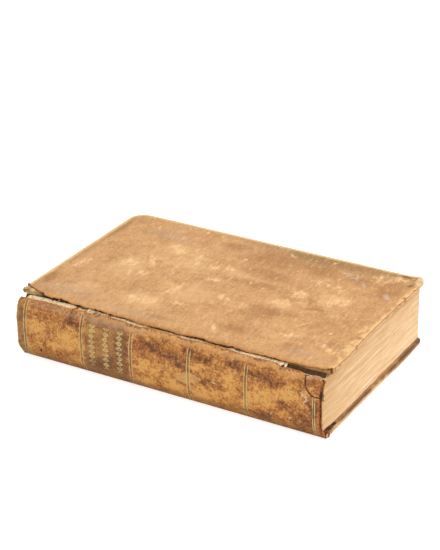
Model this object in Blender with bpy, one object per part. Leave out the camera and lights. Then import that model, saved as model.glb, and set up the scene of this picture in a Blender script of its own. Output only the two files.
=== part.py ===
"""A worn, leather-bound dictionary that lies on its back cover.

Frame: metres. +X runs along the spine from the head of the book to its tail,
-Y is the spine, +Y the fore-edge and +Z the front cover. The origin is under
the middle of the book, on the surface that it lies on.

The book is built the way a binder makes it. Folded gatherings are sewn on
cords that sit in saw cuts across the rounded back, the back is lined with
paper, the cords are laced into two millboards, and one skin of calf goes over
each board and another over the spine. The skin has split along the front
joint, and a scrap of it is broken off at the tail.
"""

import math

import bpy
import bmesh
from mathutils import Matrix, Vector

# ---------------------------------------------------------------- sizes
# Covers
BOARD_LENGTH = 0.2410        # a cover from head to tail, over the leather
BOARD_WIDTH = 0.1573         # a cover from its joint to the fore-edge
TAIL_RUN_OUT = 0.0028        # how much longer the book is at its fore-edge
MILLBOARD = 0.0021
LEATHER = 0.0008
PARED_LEATHER = 0.00045      # the turn-ins, thinned by the binder's knife
TURN_IN_WIDTH = 0.0140
PASTEDOWN = 0.0002           # thickness of the sheet pasted inside a cover
PASTEDOWN_MARGIN = 0.0035
EDGE_ROUND = 0.0012          # radius of the leather over a board's edge
FRONT_HEAD_CORNER = 0.0130   # the front cover's corners, worn round
FRONT_TAIL_CORNER = 0.0058
BACK_CORNER = 0.0040
BOARD_ARRIS = 0.0003

# Leaves
PAGES_THICKNESS = 0.0426
HEAD_SQUARE = 0.0026         # how far the covers stand past the leaves
TAIL_SQUARE = 0.0020
FORE_SQUARE = 0.0034
GATHERINGS = 34
FOLD_RELIEF = 0.00030        # depth of the valley between two gatherings
TRIM_RELIEF = 0.00016        # the same on the three trimmed edges
TRIM_SCATTER = 0.00022       # how unevenly the gatherings lie
LEAF_WAVE = 0.00035
LEAF_CORNER = 0.0006

# The rounded back of the leaves
SHOULDER_SET = 0.0024        # the shoulders stand this far past the joint
BACK_ROUND = 0.0068
BACK_FULLNESS = 2.2          # 2 is an ellipse, more is squarer
FULLNESS_BELOW = 4.0         # the lower half, which the book has sunk onto
COCK_AT_HEAD = 0.0016        # the leaves lean over by this much
COCK_AT_TAIL = 0.0034
PINCH = 0.0018               # the leaves are squeezed thinner at the back
PINCH_RUN = 0.0300
FORE_HOLLOW = 0.0006

# Spine
LINING = 0.0003
LINING_END = 0.0130          # bare back left at each end for the turn-ins
CAP_LEATHER = 0.0019         # the skin doubled over at head and tail
CAP_TAPER = 0.0060
JOINT_RISE = 0.00015         # the skin's lower edge clears the table
LIP_RADIUS = 0.0024          # the front skin rolls over the joint with it
LIP_SET = 0.0008             # its roll starts this far in from the joint
SPLIT_OPENING = 0.0006       # between the split's two lips, where nothing is gone
HEAD_WEAR = 0.0012           # rubbed off the skin's end at the head of the spine
TAIL_WEAR = 0.0002
TOOL_WIDTH = 0.0007
TOOL_DEPTH = 0.00015
TOOL_PITCH = 0.0021          # between the two lines of a double rule

# Sewing
CORD_RADIUS = 0.0008
SLIP_RADIUS = 0.0006
SLIP_LENGTH = 0.0130
SAW_CUT_DEPTH = 0.0021
CORD_EXIT = 0.0010           # the cords leave the shoulders this far in

# Clearances
GLUE = 0.0002                # stands for a glue line between two layers
SKIN_SEAT = 0.00035          # the same under the skin of the spine
CORD_CLEARANCE = 0.0003
COVER_PLAY = 0.0003          # air between a closed cover and the leaves
SPLIT_CLEARANCE = 0.0003

# ------------------------------------------- places along the spine
# Shares of the length from head to tail.
CORD_STATIONS = (0.13, 0.37, 0.62, 0.87)
RULE_STATIONS = (0.034, 0.229, 0.396, 0.584, 0.764, 0.972)

# How low the split leaves the front skin's lip below the cover's face.
# A value under 0 is bare board: the tear then runs on the face.
LIP_DROP = (
    (0.004, -0.0060), (0.037, -0.0024), (0.054, -0.0003), (0.090, 0.0008),
    (0.175, 0.0012), (0.195, 0.0020), (0.215, 0.0020), (0.270, 0.0010),
    (0.298, 0.0024), (0.320, 0.0023), (0.346, 0.0015), (0.382, 0.0025),
    (0.415, 0.0029), (0.505, 0.0032), (0.550, 0.0030), (0.595, 0.0018),
    (0.660, 0.0024), (0.725, 0.0020), (0.771, 0.0025), (0.800, 0.0019),
    (0.870, 0.0019), (0.930, 0.0012), (0.980, 0.0008), (0.998, 0.0002),
)
# How far the split's lower lip, on the spine, has curled off the shoulder.
SPINE_LIP_CURL = (
    (0.000, 0.0001), (0.060, 0.0006), (0.130, 0.0006), (0.240, 0.0012),
    (0.300, 0.0018), (0.450, 0.0016), (0.700, 0.0015), (0.850, 0.0012),
    (0.900, 0.0002), (0.960, 0.0008), (1.000, 0.0010),
)
# How much of the skin's upper end is gone from the spine.
SPINE_LIP_LOSS = (
    (0.000, 0.0036), (0.050, 0.0030), (0.090, 0.0013), (0.135, 0.0015),
    (0.160, 0.0022), (0.190, 0.0012), (0.230, 0.0018), (0.262, 0.0030),
    (0.285, 0.0012), (0.345, 0.0013), (0.370, 0.0022), (0.415, 0.0026),
    (0.435, 0.0014), (0.500, 0.0018), (0.552, 0.0022), (0.600, 0.0015),
    (0.690, 0.0012), (0.730, 0.0020), (0.790, 0.0018), (0.852, 0.0014),
    (0.864, 0.0042), (0.876, 0.0026), (0.900, 0.0022), (0.925, 0.0027),
    (0.938, 0.0048), (1.000, 0.0062),
)
# The crack that frees the scrap: shares of the length and of the section.
CRACK = ((0.9385, 1.050), (0.9410, 0.800), (0.9500, 0.750),
         (0.9640, 0.685), (0.9760, 0.672), (1.0000, 0.690))

# ---------------------------------------------------------- worked out
CORNER_RUN_OUT = TAIL_RUN_OUT * (1 - BACK_CORNER / BOARD_WIDTH)
HEAD = -(BOARD_LENGTH + CORNER_RUN_OUT) / 2
TAIL = HEAD + BOARD_LENGTH
BOARD_DEPTH = LEATHER + GLUE                     # from a cover's outer face
TURN_IN_DEPTH = BOARD_DEPTH + MILLBOARD + GLUE
PASTEDOWN_DEPTH = TURN_IN_DEPTH + PARED_LEATHER + GLUE
COVER = PASTEDOWN_DEPTH + PASTEDOWN
PAGES_BOTTOM = COVER + COVER_PLAY
PAGES_MIDDLE = PAGES_BOTTOM + PAGES_THICKNESS / 2
BOOK_THICKNESS = PAGES_THICKNESS + 2 * PAGES_BOTTOM
LEAF_HEAD = HEAD + HEAD_SQUARE
LEAF_TAIL = TAIL - TAIL_SQUARE
BACK_LAYERS = GLUE + LINING + SKIN_SEAT + LEATHER    # leaves to the skin's face
BACK_STEPS = 14
SKIN_STEPS = 40
STATION_STEP = 0.0085        # between the stations of the spine's skin
TEAR_STEP = 0.0055           # between the points of the front tear
SPINE_TEAR_WANDER = 0.0004   # the tears wander by this, over these lengths
SPINE_TEAR_PERIOD = 0.0210
SCRAP_TEAR_PERIOD = 0.0060
FRONT_TEAR_WANDER = 0.0003
FRONT_TEAR_PERIOD = 0.0270
TURN_WEIGHT = 0.010          # a radian's bend counts as this much length


def mix(low, high, share):
    """The value that lies the given share of the way from low to high."""
    return low + (high - low) * share


def read_curve(points, place):
    """The height of a line of (place, height) points at a place."""
    if place <= points[0][0]:
        return points[0][1]
    for (left, low), (right, high) in zip(points, points[1:]):
        if place <= right:
            return mix(low, high, (place - left) / (right - left))
    return points[-1][1]


def ragged(place, period):
    """A torn edge's wander, from -1 to 1, that looks irregular."""
    turn = 2 * math.pi * place / period
    return (math.sin(turn) + math.sin(2.7 * turn + 1.3) + math.sin(5.3 * turn + 0.4)) / 3


def along(x):
    """Where x lies along the book, from 0 at the head to 1 at the tail."""
    return (x - HEAD) / BOARD_LENGTH


# ------------------------------------------------- the back's section
def cock(x):
    return mix(COCK_AT_HEAD, COCK_AT_TAIL, along(x))


def squareness(side):
    """The power of the back's curve: the lower half is squarer."""
    return BACK_FULLNESS if side > 0 else FULLNESS_BELOW


def fullness(height):
    """How far out the back is at a height share, from 0 to 1 and to 0."""
    power = squareness(height - 0.5)
    side = abs(2 * height - 1) ** power
    return max(1 - side, 0) ** (1 / power)


def back_point(x, turn):
    """The back of the leaves at x, as (y from the joint, z).

    turn goes from 0 at the lower shoulder to pi at the upper one.
    """
    swing = -math.cos(turn)
    power = squareness(swing)
    side = math.copysign(abs(swing) ** (2 / power), swing)
    out = SHOULDER_SET + BACK_ROUND * math.sin(turn) ** (2 / power)
    out += cock(x) * side / 2
    return Vector((-out, PAGES_MIDDLE + side * (PAGES_THICKNESS / 2 - PINCH)))


def back_offset(x, turn, distance):
    """A point at a distance outside the back of the leaves."""
    step = 0.01
    before = back_point(x, max(turn - step, 0))
    after = back_point(x, min(turn + step, math.pi))
    tangent = (after - before).normalized()
    return back_point(x, turn) + distance * Vector((-tangent.y, tangent.x))


def bezier(start, start_pull, end_pull, end, steps):
    """Points of a cubic curve, without its last one."""
    points = []
    for step in range(steps):
        s = step / steps
        points.append(start * (1 - s) ** 3 + start_pull * 3 * s * (1 - s) ** 2
                      + end_pull * 3 * s * s * (1 - s) + end * s ** 3)
    return points


def spine_section(x):
    """The outer line of the spine's skin at x, from the back joint upwards."""
    low_turn, curl_turn = 0.16 * math.pi, 0.70 * math.pi
    low = back_offset(x, low_turn, BACK_LAYERS)
    low_way = (back_offset(x, low_turn + 0.02, BACK_LAYERS) - low).normalized()
    joint = Vector((-SPLIT_CLEARANCE, JOINT_RISE))
    pull = 0.45 * (low - joint).length
    line = bezier(joint, joint - Vector((pull, 0)), low - low_way * pull, low, 6)
    curl = read_curve(SPINE_LIP_CURL, along(x))
    for step in range(SKIN_STEPS + 1):
        turn = mix(low_turn, math.pi, step / SKIN_STEPS)
        curled = max((turn - curl_turn) / (math.pi - curl_turn), 0)
        line.append(back_offset(x, turn, BACK_LAYERS + curl * curled ** 2))
    end = LIP_SET - LIP_RADIUS - SPLIT_OPENING
    line.append(Vector((end, line[-1].y + (end - line[-1].x) * curl / SHOULDER_SET / 2)))
    return line


def line_length(line):
    return sum((b - a).length for a, b in zip(line, line[1:]))


def point_on(line, distance, depth=0.0):
    """The point at a distance along a line, moved in by depth."""
    rest = distance
    for a, b in zip(line, line[1:]):
        span = (b - a).length
        if rest <= span or b is line[-1]:
            way = (b - a) / span
            return a + way * min(rest, span) + depth * Vector((way.y, -way.x))
        rest -= span


def row_places(line, low, high, rows):
    """Distances along a line for a sheet's rows, closer where it turns more."""
    places, weights = [0.0], [0.0]
    for a, b, c in zip(line, line[1:], line[2:] + [line[-1]]):
        turn = (b - a).angle(c - b) if c is not b else 0
        places.append(places[-1] + (b - a).length)
        weights.append(weights[-1] + (b - a).length + TURN_WEIGHT * turn)
    forward = list(zip(places, weights))
    backward = list(zip(weights, places))
    start, end = read_curve(forward, low), read_curve(forward, high)
    return [low] + [read_curve(backward, mix(start, end, row / (rows - 1)))
                    for row in range(1, rows - 1)] + [high]


def spine_reach():
    """How far the spine stands out past the boards' spine edges."""
    ends = [point for x in (HEAD, TAIL) for point in spine_section(x)]
    return max(-point.x for point in ends)


JOINT = (spine_reach() - BOARD_WIDTH) / 2        # y of the boards' spine edges
FORE_EDGE = JOINT + BOARD_WIDTH


# ------------------------------------------------------- mesh helpers
def out_of_square(point):
    """Boards and leaves run out at the tail, more and more towards the fore-edge."""
    share = max(point[1] - JOINT, 0) / BOARD_WIDTH
    return Vector((point[0] + TAIL_RUN_OUT * share * along(point[0]), point[1], point[2]))


def make_object(name, vertices, faces, material, parent=None):
    """A mesh object made of one closed body, with its faces pointing out."""
    mesh = bpy.data.meshes.new(name)
    origin = parent.location if parent else Vector()
    mesh.from_pydata([out_of_square(v) - origin for v in vertices], [], faces)
    work = bmesh.new()
    work.from_mesh(mesh)
    bmesh.ops.recalc_face_normals(work, faces=work.faces)
    work.to_mesh(mesh)
    work.free()
    mesh.shade_smooth()
    mesh.set_sharp_from_angle(angle=math.radians(35))
    item = bpy.data.objects.new(name, mesh)
    bpy.context.collection.objects.link(item)
    item.data.materials.append(material)
    item.parent = parent
    return item


def shell(name, outer, inner, faces, material, parent=None):
    """A skin: two matching sheets of points, joined round every free edge."""
    count = len(outer)
    used = {(a, b) for face in faces for a, b in zip(face, face[1:] + face[:1])}
    solid = list(faces)
    solid += [tuple(count + i for i in reversed(face)) for face in faces]
    solid += [(b, a, count + a, count + b) for a, b in used if (b, a) not in used]
    return make_object(name, outer + inner, solid, material, parent)


def grid_faces(rows, columns, start=0):
    """Quads between the points of a grid that is stored row by row."""
    faces = []
    for row in range(rows - 1):
        for column in range(columns - 1):
            a = start + row * columns + column
            faces.append((a, a + 1, a + columns + 1, a + columns))
    return faces


def tube(path, radius, sides):
    """Points and faces of a closed tube along a path in a plane of constant x."""
    vertices, faces = [], []
    across = Vector((1, 0, 0))
    for index, point in enumerate(path):
        before = path[max(index - 1, 0)]
        after = path[min(index + 1, len(path) - 1)]
        up = across.cross(after - before).normalized()
        for side in range(sides):
            turn = 2 * math.pi * (side + 0.5) / sides
            vertices.append(point + radius * (math.cos(turn) * across + math.sin(turn) * up))
    for ring in range(len(path) - 1):
        for side in range(sides):
            a, b = ring * sides + side, ring * sides + (side + 1) % sides
            faces.append((a, b, b + sides, a + sides))
    last = (len(path) - 1) * sides
    faces.append(tuple(reversed(range(sides))))
    faces.append(tuple(range(last, last + sides)))
    return vertices, faces


def cut(item, cutter):
    """Takes the cutter's body out of the item."""
    cutter.hide_render = True
    cutter.display_type = 'WIRE'
    change = item.modifiers.new(cutter.name, 'BOOLEAN')
    change.operation = 'DIFFERENCE'
    change.solver = 'EXACT'
    change.object = cutter


def make_material(name, red, green, blue, roughness):
    material = bpy.data.materials.new(name)
    material.use_nodes = True
    shader = material.node_tree.nodes["Principled BSDF"]
    shader.inputs["Base Color"].default_value = (red, green, blue, 1)
    shader.inputs["Roughness"].default_value = roughness
    shader.inputs["Metallic"].default_value = 0
    return material


# ------------------------------------------------------------- leaves
def pinch(inward):
    """How much a face of the leaves dips, this far in from the joint."""
    share = min(max(1 - inward / PINCH_RUN, 0), 1)
    return PINCH * share ** 2


def leaf_back(x, height):
    """The back of the gathering at a height share, as y from the joint."""
    return -SHOULDER_SET - BACK_ROUND * fullness(height) - cock(x) * (height - 0.5)


def saw_cut_floor(x, height):
    """The bottom of a saw cut: it runs out over both shoulders."""
    middle = leaf_back(x, 0.5) + SAW_CUT_DEPTH
    return middle + (CORD_EXIT - middle) * abs(2 * height - 1) ** 3 - cock(x) * (height - 0.5)


def leaf_point(spot, height, relief):
    """A point on the edge, or on the face, of the stack of leaves.

    A spot is (share from head to tail, share from back to fore-edge, in a
    saw cut or not), and relief is (at the folds, at the trimmed edges).
    """
    x_share, y_share, sunk = spot
    fold_in, trim_in = relief
    x = mix(LEAF_HEAD + trim_in, LEAF_TAIL - trim_in, x_share)
    back = saw_cut_floor(x, height) if sunk else leaf_back(x, height) + fold_in
    hollow = FORE_HOLLOW * (1 - (2 * height - 1) ** 2)
    lean = cock(x) * (height - 0.5)
    fore = BOARD_WIDTH - FORE_SQUARE - hollow - lean - trim_in
    inward = mix(back, fore, y_share)
    if x_share in (0, 1) and y_share == 1:
        x += LEAF_CORNER * (1 - 2 * x_share)
        inward -= LEAF_CORNER
    wave = LEAF_WAVE * math.sin(5 * x_share + 4 * y_share) * math.sin(2 * math.pi * height)
    wave *= min(max(inward / PINCH_RUN, 0), 1)
    half = PAGES_THICKNESS / 2 - pinch(inward)
    return Vector((x, JOINT + inward, PAGES_MIDDLE + (2 * height - 1) * half + wave))


def leaf_levels():
    """Heights through the stack, each with its relief: a ridge and a valley a gathering."""
    levels = [(0, (0, TRIM_SCATTER / 2))]
    for gathering in range(GATHERINGS):
        scatter = TRIM_SCATTER * (0.5 + 0.5 * ragged(gathering, 9.7))
        levels.append(((gathering + 0.5) / GATHERINGS, (0, scatter)))
        levels.append(((gathering + 1) / GATHERINGS, (FOLD_RELIEF, scatter + TRIM_RELIEF)))
    levels[-1] = (1, (0, TRIM_SCATTER / 2))
    return levels


def saw_cut_spots(low, high):
    """The corners of the saw cuts that lie between two shares of the length."""
    spots = []
    half = CORD_RADIUS + CORD_CLEARANCE
    for station in CORD_STATIONS:
        middle = mix(HEAD, TAIL, station)
        sides = [(middle + side - LEAF_HEAD) / (LEAF_TAIL - LEAF_HEAD) for side in (-half, half)]
        if low < sides[0] < high:
            spots += [(sides[0], 0, False), (sides[0], 0, True), (sides[1], 0, True), (sides[1], 0, False)]
    return spots


def page_block(material):
    """All the leaves, free endpapers included: gathering on gathering."""
    columns = (0, 0.03, 0.27, 0.5, 0.73, 0.97, 1)
    rows = (0, 0.055, 0.12, 0.24, 0.5, 0.78, 1)
    cuts = [saw_cut_spots(low, high) for low, high in zip(columns, columns[1:])]
    edge = []
    for column, spots in zip(columns, cuts):
        edge += [(column, 0, False)] + spots
    edge += [(1, row, False) for row in rows]
    edge += [(column, 1, False) for column in reversed(columns[:-1])]
    edge += [(0, row, False) for row in reversed(rows[1:-1])]

    levels = leaf_levels()
    ring = len(edge)
    vertices = [leaf_point(spot, *place) for place in levels for spot in edge]
    faces = []
    for level in range(len(levels) - 1):
        for k in range(ring):
            a, b = level * ring + k, level * ring + (k + 1) % ring
            faces.append((a, b, b + ring, a + ring))
    for level in (0, len(levels) - 1):
        place = {spot: level * ring + k for k, spot in enumerate(edge)}
        for column in columns[1:-1]:
            for row in rows[1:-1]:
                place[column, row, False] = len(vertices)
                vertices.append(leaf_point((column, row, False), *levels[level]))
        for number, (left, right) in enumerate(zip(columns, columns[1:])):
            for near, far in zip(rows, rows[1:]):
                spots = cuts[number] if near == 0 else []
                outline = [(left, near, False)] + spots
                outline += [(right, near, False), (right, far, False), (left, far, False)]
                faces.append(tuple(place[spot] for spot in outline))
    return make_object("page_block", vertices, faces, material)


def sewing_cords(material):
    """Four hemp cords, each in a saw cut across the back."""
    seat = CORD_RADIUS + CORD_CLEARANCE
    steps = 12
    for number, station in enumerate(CORD_STATIONS, 1):
        x = mix(HEAD, TAIL, station)
        floor = []
        for step in range(-1, steps + 2):
            height = mix(0.02, 0.98, step / steps)
            z = PAGES_MIDDLE + (2 * height - 1) * (PAGES_THICKNESS / 2 - PINCH)
            floor.append(Vector((x, JOINT + saw_cut_floor(x, height), z)))
        path = []
        for before, point, after in zip(floor, floor[1:], floor[2:]):
            way = (after - before).normalized()
            path.append(point + seat * Vector((0, -way.z, way.y)))
        make_object(f"sewing_cord_{number}", *tube(path, CORD_RADIUS, 8), material)


def spine_lining(material):
    """Paper glued over the sewn back."""
    turns = [mix(0.05, 0.95, step / BACK_STEPS) * math.pi for step in range(BACK_STEPS + 1)]
    stations = [mix(LEAF_HEAD + LINING_END, LEAF_TAIL - LINING_END, step / 4) for step in range(5)]
    sheets = []
    for distance in (GLUE + LINING, GLUE):
        sheet = []
        for x in stations:
            for turn in turns:
                y, z = back_offset(x, turn, distance)
                sheet.append(Vector((x, JOINT + y, z)))
        sheets.append(sheet)
    faces = grid_faces(len(stations), len(turns))
    shell("spine_lining", *sheets, faces, material)


# ------------------------------------------------------- spine leather
def skin_thickness(x, way, length):
    """The skin's thickness: doubled at the ends, thinned at a torn edge."""
    end = min(x - HEAD, TAIL - x)
    square = HEAD_SQUARE if x < 0 else TAIL_SQUARE
    if end < square - SPLIT_CLEARANCE:
        full = CAP_LEATHER
    elif end < square + LINING_END - GLUE:
        full = LEATHER + GLUE + LINING
    else:
        full = LEATHER
    at_joint = min(way / CAP_TAPER, 1)
    at_tear = min((length - way) / CAP_TAPER, 1)
    full = LEATHER + (full - LEATHER) * min(at_joint, at_tear)
    return full * mix(0.55, 1, min((length - way) / LEATHER, 1))


def rule_dent(x):
    """How deep the tooled lines press into the skin at x."""
    for station in RULE_STATIONS:
        for side in (-TOOL_PITCH / 2, TOOL_PITCH / 2):
            if abs(x - mix(HEAD, TAIL, station) - side) < TOOL_WIDTH / 4:
                return TOOL_DEPTH
    return 0


def spine_stations():
    """Places along the spine: an even row, with more at each tooled line and crack."""
    square_ends = (HEAD_SQUARE - SPLIT_CLEARANCE, HEAD_SQUARE + LINING_END - GLUE)
    places = [HEAD + HEAD_WEAR, TAIL - TAIL_WEAR]
    for end in square_ends:
        places += [HEAD + end - 0.0002, HEAD + end + 0.0002]
        places += [TAIL - end - 0.0002 + HEAD_SQUARE - TAIL_SQUARE,
                   TAIL - end + 0.0002 + HEAD_SQUARE - TAIL_SQUARE]
    for station in RULE_STATIONS:
        middle = mix(HEAD, TAIL, station)
        for side in (-TOOL_PITCH / 2, TOOL_PITCH / 2):
            places += [middle + side - TOOL_WIDTH / 2, middle + side, middle + side + TOOL_WIDTH / 2]
    places += [mix(HEAD, TAIL, share) - SPLIT_CLEARANCE / 2 for share, height in CRACK[:-1]]
    step = STATION_STEP
    for index in range(1, round(BOARD_LENGTH / step)):
        x = mix(HEAD, TAIL, index * step / BOARD_LENGTH)
        if min(abs(x - other) for other in places) > 0.4 * step:
            places.append(x)
    return sorted(places)


def skin_sheets(columns, rows):
    """Outer and inner points of the spine's skin over columns of (x, low, high)."""
    outer, inner = [], []
    for x, low, high in columns:
        line = spine_section(x)
        for row, way in enumerate(row_places(line, low, high, rows)):
            dent = rule_dent(x) if 0 < row < rows - 1 else 0
            for sheet, depth in ((outer, dent), (inner, skin_thickness(x, way, high))):
                y, z = point_on(line, way, depth)
                sheet.append(Vector((x, JOINT + y, z)))
    return outer, inner


def spine_leather(material):
    """The calf over the back, torn off along the front joint."""
    columns = []
    for x in spine_stations():
        length = line_length(spine_section(x))
        torn = length - read_curve(SPINE_LIP_LOSS, along(x)) + SPINE_TEAR_WANDER * ragged(x, SPINE_TEAR_PERIOD)
        cracked = read_curve(CRACK, along(x + SPLIT_CLEARANCE / 2)) * length - SPLIT_CLEARANCE / 2
        columns.append((x, 0, min(torn, cracked)))
    rows = 14
    outer, inner = skin_sheets(columns, rows)
    shell("spine_leather", outer, inner, grid_faces(len(columns), rows), material)


def spine_leather_scrap(material):
    """The broken-off scrap of the same skin, at the tail."""
    columns = []
    places = [mix(HEAD, TAIL, share) + SPLIT_CLEARANCE / 2 for share, height in CRACK[1:-1]]
    for x in places + [TAIL - 0.0025, TAIL - 0.0006]:
        length = line_length(spine_section(x))
        cracked = read_curve(CRACK, along(x - SPLIT_CLEARANCE / 2)) * length + SPLIT_CLEARANCE / 2
        torn = length - read_curve(SPINE_LIP_LOSS, along(x)) + SPINE_TEAR_WANDER * ragged(x, SCRAP_TEAR_PERIOD)
        columns.append((x, cracked, torn))
    rows = 6
    outer, inner = skin_sheets(columns, rows)
    shell("spine_leather_scrap", outer, inner, grid_faces(len(columns), rows), material)


# -------------------------------------------------------------- covers
def arc(centre, radius, start, end, steps):
    """Points on a circle, both ends included."""
    points = []
    for step in range(steps + 1):
        turn = mix(start, end, step / steps)
        points.append((centre[0] + radius * math.cos(turn), centre[1] + radius * math.sin(turn)))
    return points


def cover_outline(inset, corners, head_start, tail_start):
    """A cover's three outer edges, from the joint at the head round to the tail."""
    head_radius = max(corners[0] - inset, 0.0005)
    tail_radius = max(corners[1] - inset, 0.0005)
    left, right, fore = HEAD + inset, TAIL - inset, FORE_EDGE - inset
    points = [(left, JOINT + head_start)]
    points += arc((left + head_radius, fore - head_radius), head_radius, math.pi, math.pi / 2, 6)
    points += arc((right - tail_radius, fore - tail_radius), tail_radius, math.pi / 2, 0, 6)
    points.append((right, JOINT + tail_start))
    return points


def level(side, depth):
    """The height that lies this deep in the front or the back cover."""
    return BOOK_THICKNESS - depth if side == "front" else depth


def cover_corners(side):
    if side == "front":
        return FRONT_HEAD_CORNER, FRONT_TAIL_CORNER
    return BACK_CORNER, BACK_CORNER


def board(side, material, parent):
    """A millboard with a chamfered arris, cut out of pulped rope board."""
    corners = cover_corners(side)
    edge = LEATHER + GLUE
    vertices, faces = [], []
    rings = ((BOARD_ARRIS, 0), (0, BOARD_ARRIS), (0, MILLBOARD - BOARD_ARRIS), (BOARD_ARRIS, MILLBOARD))
    for inset, depth in rings:
        start = SPLIT_CLEARANCE + inset
        for x, y in cover_outline(edge + inset, corners, start, start):
            vertices.append((x, y, level(side, BOARD_DEPTH + depth)))
    count = len(vertices) // len(rings)
    for ring in range(len(rings) - 1):
        for k in range(count):
            a, b = ring * count + k, ring * count + (k + 1) % count
            faces.append((a, b, b + count, a + count))
    faces.append(tuple(reversed(range(count))))
    faces.append(tuple(range(3 * count, 4 * count)))
    return make_object(f"{side}_board", vertices, faces, material, parent)


def leather_section(thickness_in):
    """The skin's line round a board's edge, as (inset, depth) points.

    thickness_in is 0 for the outer face and 1 for the inner face.
    """
    inner = TURN_IN_DEPTH + PARED_LEATHER * (1 - thickness_in)
    over = LEATHER * thickness_in
    radius = EDGE_ROUND - over
    low_radius = max(EDGE_ROUND - LEATHER * thickness_in, 0.0002)
    points = [(TURN_IN_WIDTH, inner)]
    points += arc((over + low_radius, inner - low_radius), low_radius, math.pi / 2, math.pi, 3)
    points += arc((over + radius, over + radius), radius, math.pi, 1.5 * math.pi, 3)
    return points


def lip_point(distance, depth):
    """The skin as it rolls over the joint, as (y from the joint, depth)."""
    radius = LIP_RADIUS - depth
    turn = min(distance / LIP_RADIUS, math.pi / 2)
    down = max(distance - LIP_RADIUS * math.pi / 2, 0)
    return LIP_SET - radius * math.sin(turn), LIP_RADIUS - radius * math.cos(turn) + down


def lip_reach(drop):
    """How far along its roll the skin goes to hang down by drop."""
    if drop < LIP_RADIUS:
        return LIP_RADIUS * math.acos(1 - drop / LIP_RADIUS)
    return LIP_RADIUS * math.pi / 2 + drop - LIP_RADIUS


def front_tear():
    """Where the front skin ends along the joint, as (x, drop), tail to head."""
    places = [HEAD + 0.0015]
    step = TEAR_STEP
    places += [HEAD + index * step for index in range(1, round(BOARD_LENGTH / step))]
    tear = []
    for x in reversed(places):
        drop = read_curve(LIP_DROP, along(x)) + FRONT_TEAR_WANDER * ragged(x, FRONT_TEAR_PERIOD)
        tear.append((x, drop))
    return tear


def cover_leather(side, material, parent):
    """The skin over a board, turned in on three edges."""
    corners = cover_corners(side)
    tear = front_tear() if side == "front" else []
    head_start = LIP_SET - tear[-1][1] if tear else 0
    tail_start = LIP_SET + max(-tear[0][1], 0) if tear else 0
    sheets, faces = [], []
    for inside in (0, 1):
        sheet = []
        section = leather_section(inside)
        for inset, depth in section:
            for x, y in cover_outline(inset, corners, head_start, tail_start):
                sheet.append(Vector((x, y, level(side, depth))))
        sheets.append(sheet)
    rings, count = len(section), len(sheets[0]) // len(section)
    faces = grid_faces(rings, count)
    face = list(range((rings - 1) * count, rings * count))
    if tear:
        face += tear_edge(sheets, faces, tear)
    faces.append(tuple(face))
    shell(f"{side}_cover_leather", *sheets, faces, material, parent)


def tear_edge(sheets, faces, tear):
    """Adds the torn edge, and the lip that rolls down over the joint."""
    rows = 5
    first = len(sheets[0])
    edge = []
    for number, (x, drop) in enumerate(tear):
        edge.append(first + number)
        for inside, sheet in enumerate(sheets):
            depth = LEATHER * inside
            sheet.append(Vector((x, JOINT + LIP_SET + max(-drop, 0), BOOK_THICKNESS - depth)))
    lip = [number for number, (x, drop) in enumerate(tear) if drop > 0.0002]
    start = lip[0]
    strip = len(sheets[0])
    for row in range(1, rows):
        for number in lip:
            x, drop = tear[number]
            distance = lip_reach(drop) * row / (rows - 1)
            for inside, sheet in enumerate(sheets):
                thin = 0.6 if row == rows - 1 else 1
                y, depth = lip_point(distance, LEATHER * inside * thin)
                sheet.append(Vector((x, JOINT + y, BOOK_THICKNESS - depth)))
    for column in range(len(lip) - 1):
        a = first + start + column
        faces.append((a + 1, a, strip + column, strip + column + 1))
    for face in grid_faces(rows - 1, len(lip), strip):
        faces.append(tuple(reversed(face)))
    return edge


def pastedown(side, material, parent):
    """The sheet pasted inside a cover: over the turn-ins, down onto the board."""
    corners = cover_corners(side)
    step = TURN_IN_WIDTH + GLUE
    low = BOARD_DEPTH + MILLBOARD + GLUE
    section = ((PASTEDOWN_MARGIN, PASTEDOWN_DEPTH), (step, PASTEDOWN_DEPTH), (step + 2 * PARED_LEATHER, low))
    sheets = []
    for thickness in (PASTEDOWN, 0):
        sheet = []
        for inset, depth in section:
            for x, y in cover_outline(inset, corners, SPLIT_CLEARANCE, SPLIT_CLEARANCE):
                sheet.append(Vector((x, y, level(side, depth + thickness))))
        sheets.append(sheet)
    count = len(sheets[0]) // len(section)
    faces = grid_faces(len(section), count)
    faces.append(tuple(range(2 * count, 3 * count)))
    shell(f"{side}_pastedown", *sheets, faces, material, parent)


def slip_path(side, x, overrun):
    """A cord's end: up the board's edge, along its face and down through it."""
    start, end = SPLIT_CLEARANCE, SPLIT_CLEARANCE + SLIP_LENGTH
    sunk = BOARD_DEPTH + SLIP_RADIUS + GLUE
    bend = 2.5 * SLIP_RADIUS
    path = [(start, sunk + bend / 2), (start + bend / 2, sunk + bend / 6), (start + bend, sunk)]
    path += [(end - bend / 2, sunk), (end - bend / 8, sunk + bend / 6), (end, sunk + bend / 2)]
    path += [(end, BOARD_DEPTH + MILLBOARD)]
    points = [Vector((x, JOINT + y, level(side, depth))) for y, depth in path]
    points[0] += (points[0] - points[1]).normalized() * overrun
    points[-1] += (points[-1] - points[-2]).normalized() * overrun
    return points


def cord_slips(side, item, material, parent):
    """The four cords' ends, laced into channels in the board."""
    for number, station in enumerate(CORD_STATIONS, 1):
        x = mix(HEAD, TAIL, station)
        body = tube(slip_path(side, x, -GLUE), SLIP_RADIUS, 6)
        make_object(f"{side}_cord_slip_{number}", *body, material, parent)
        hole = tube(slip_path(side, x, 0.002), SLIP_RADIUS + CORD_CLEARANCE, 6)
        cut(item, make_object(f"{side}_channel_{number}", *hole, material, parent))


def joint_line(name, z):
    """An empty on a cover's hinge line."""
    empty = bpy.data.objects.new(name, None)
    empty.location = (0, JOINT, z)
    bpy.context.collection.objects.link(empty)
    return empty


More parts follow.
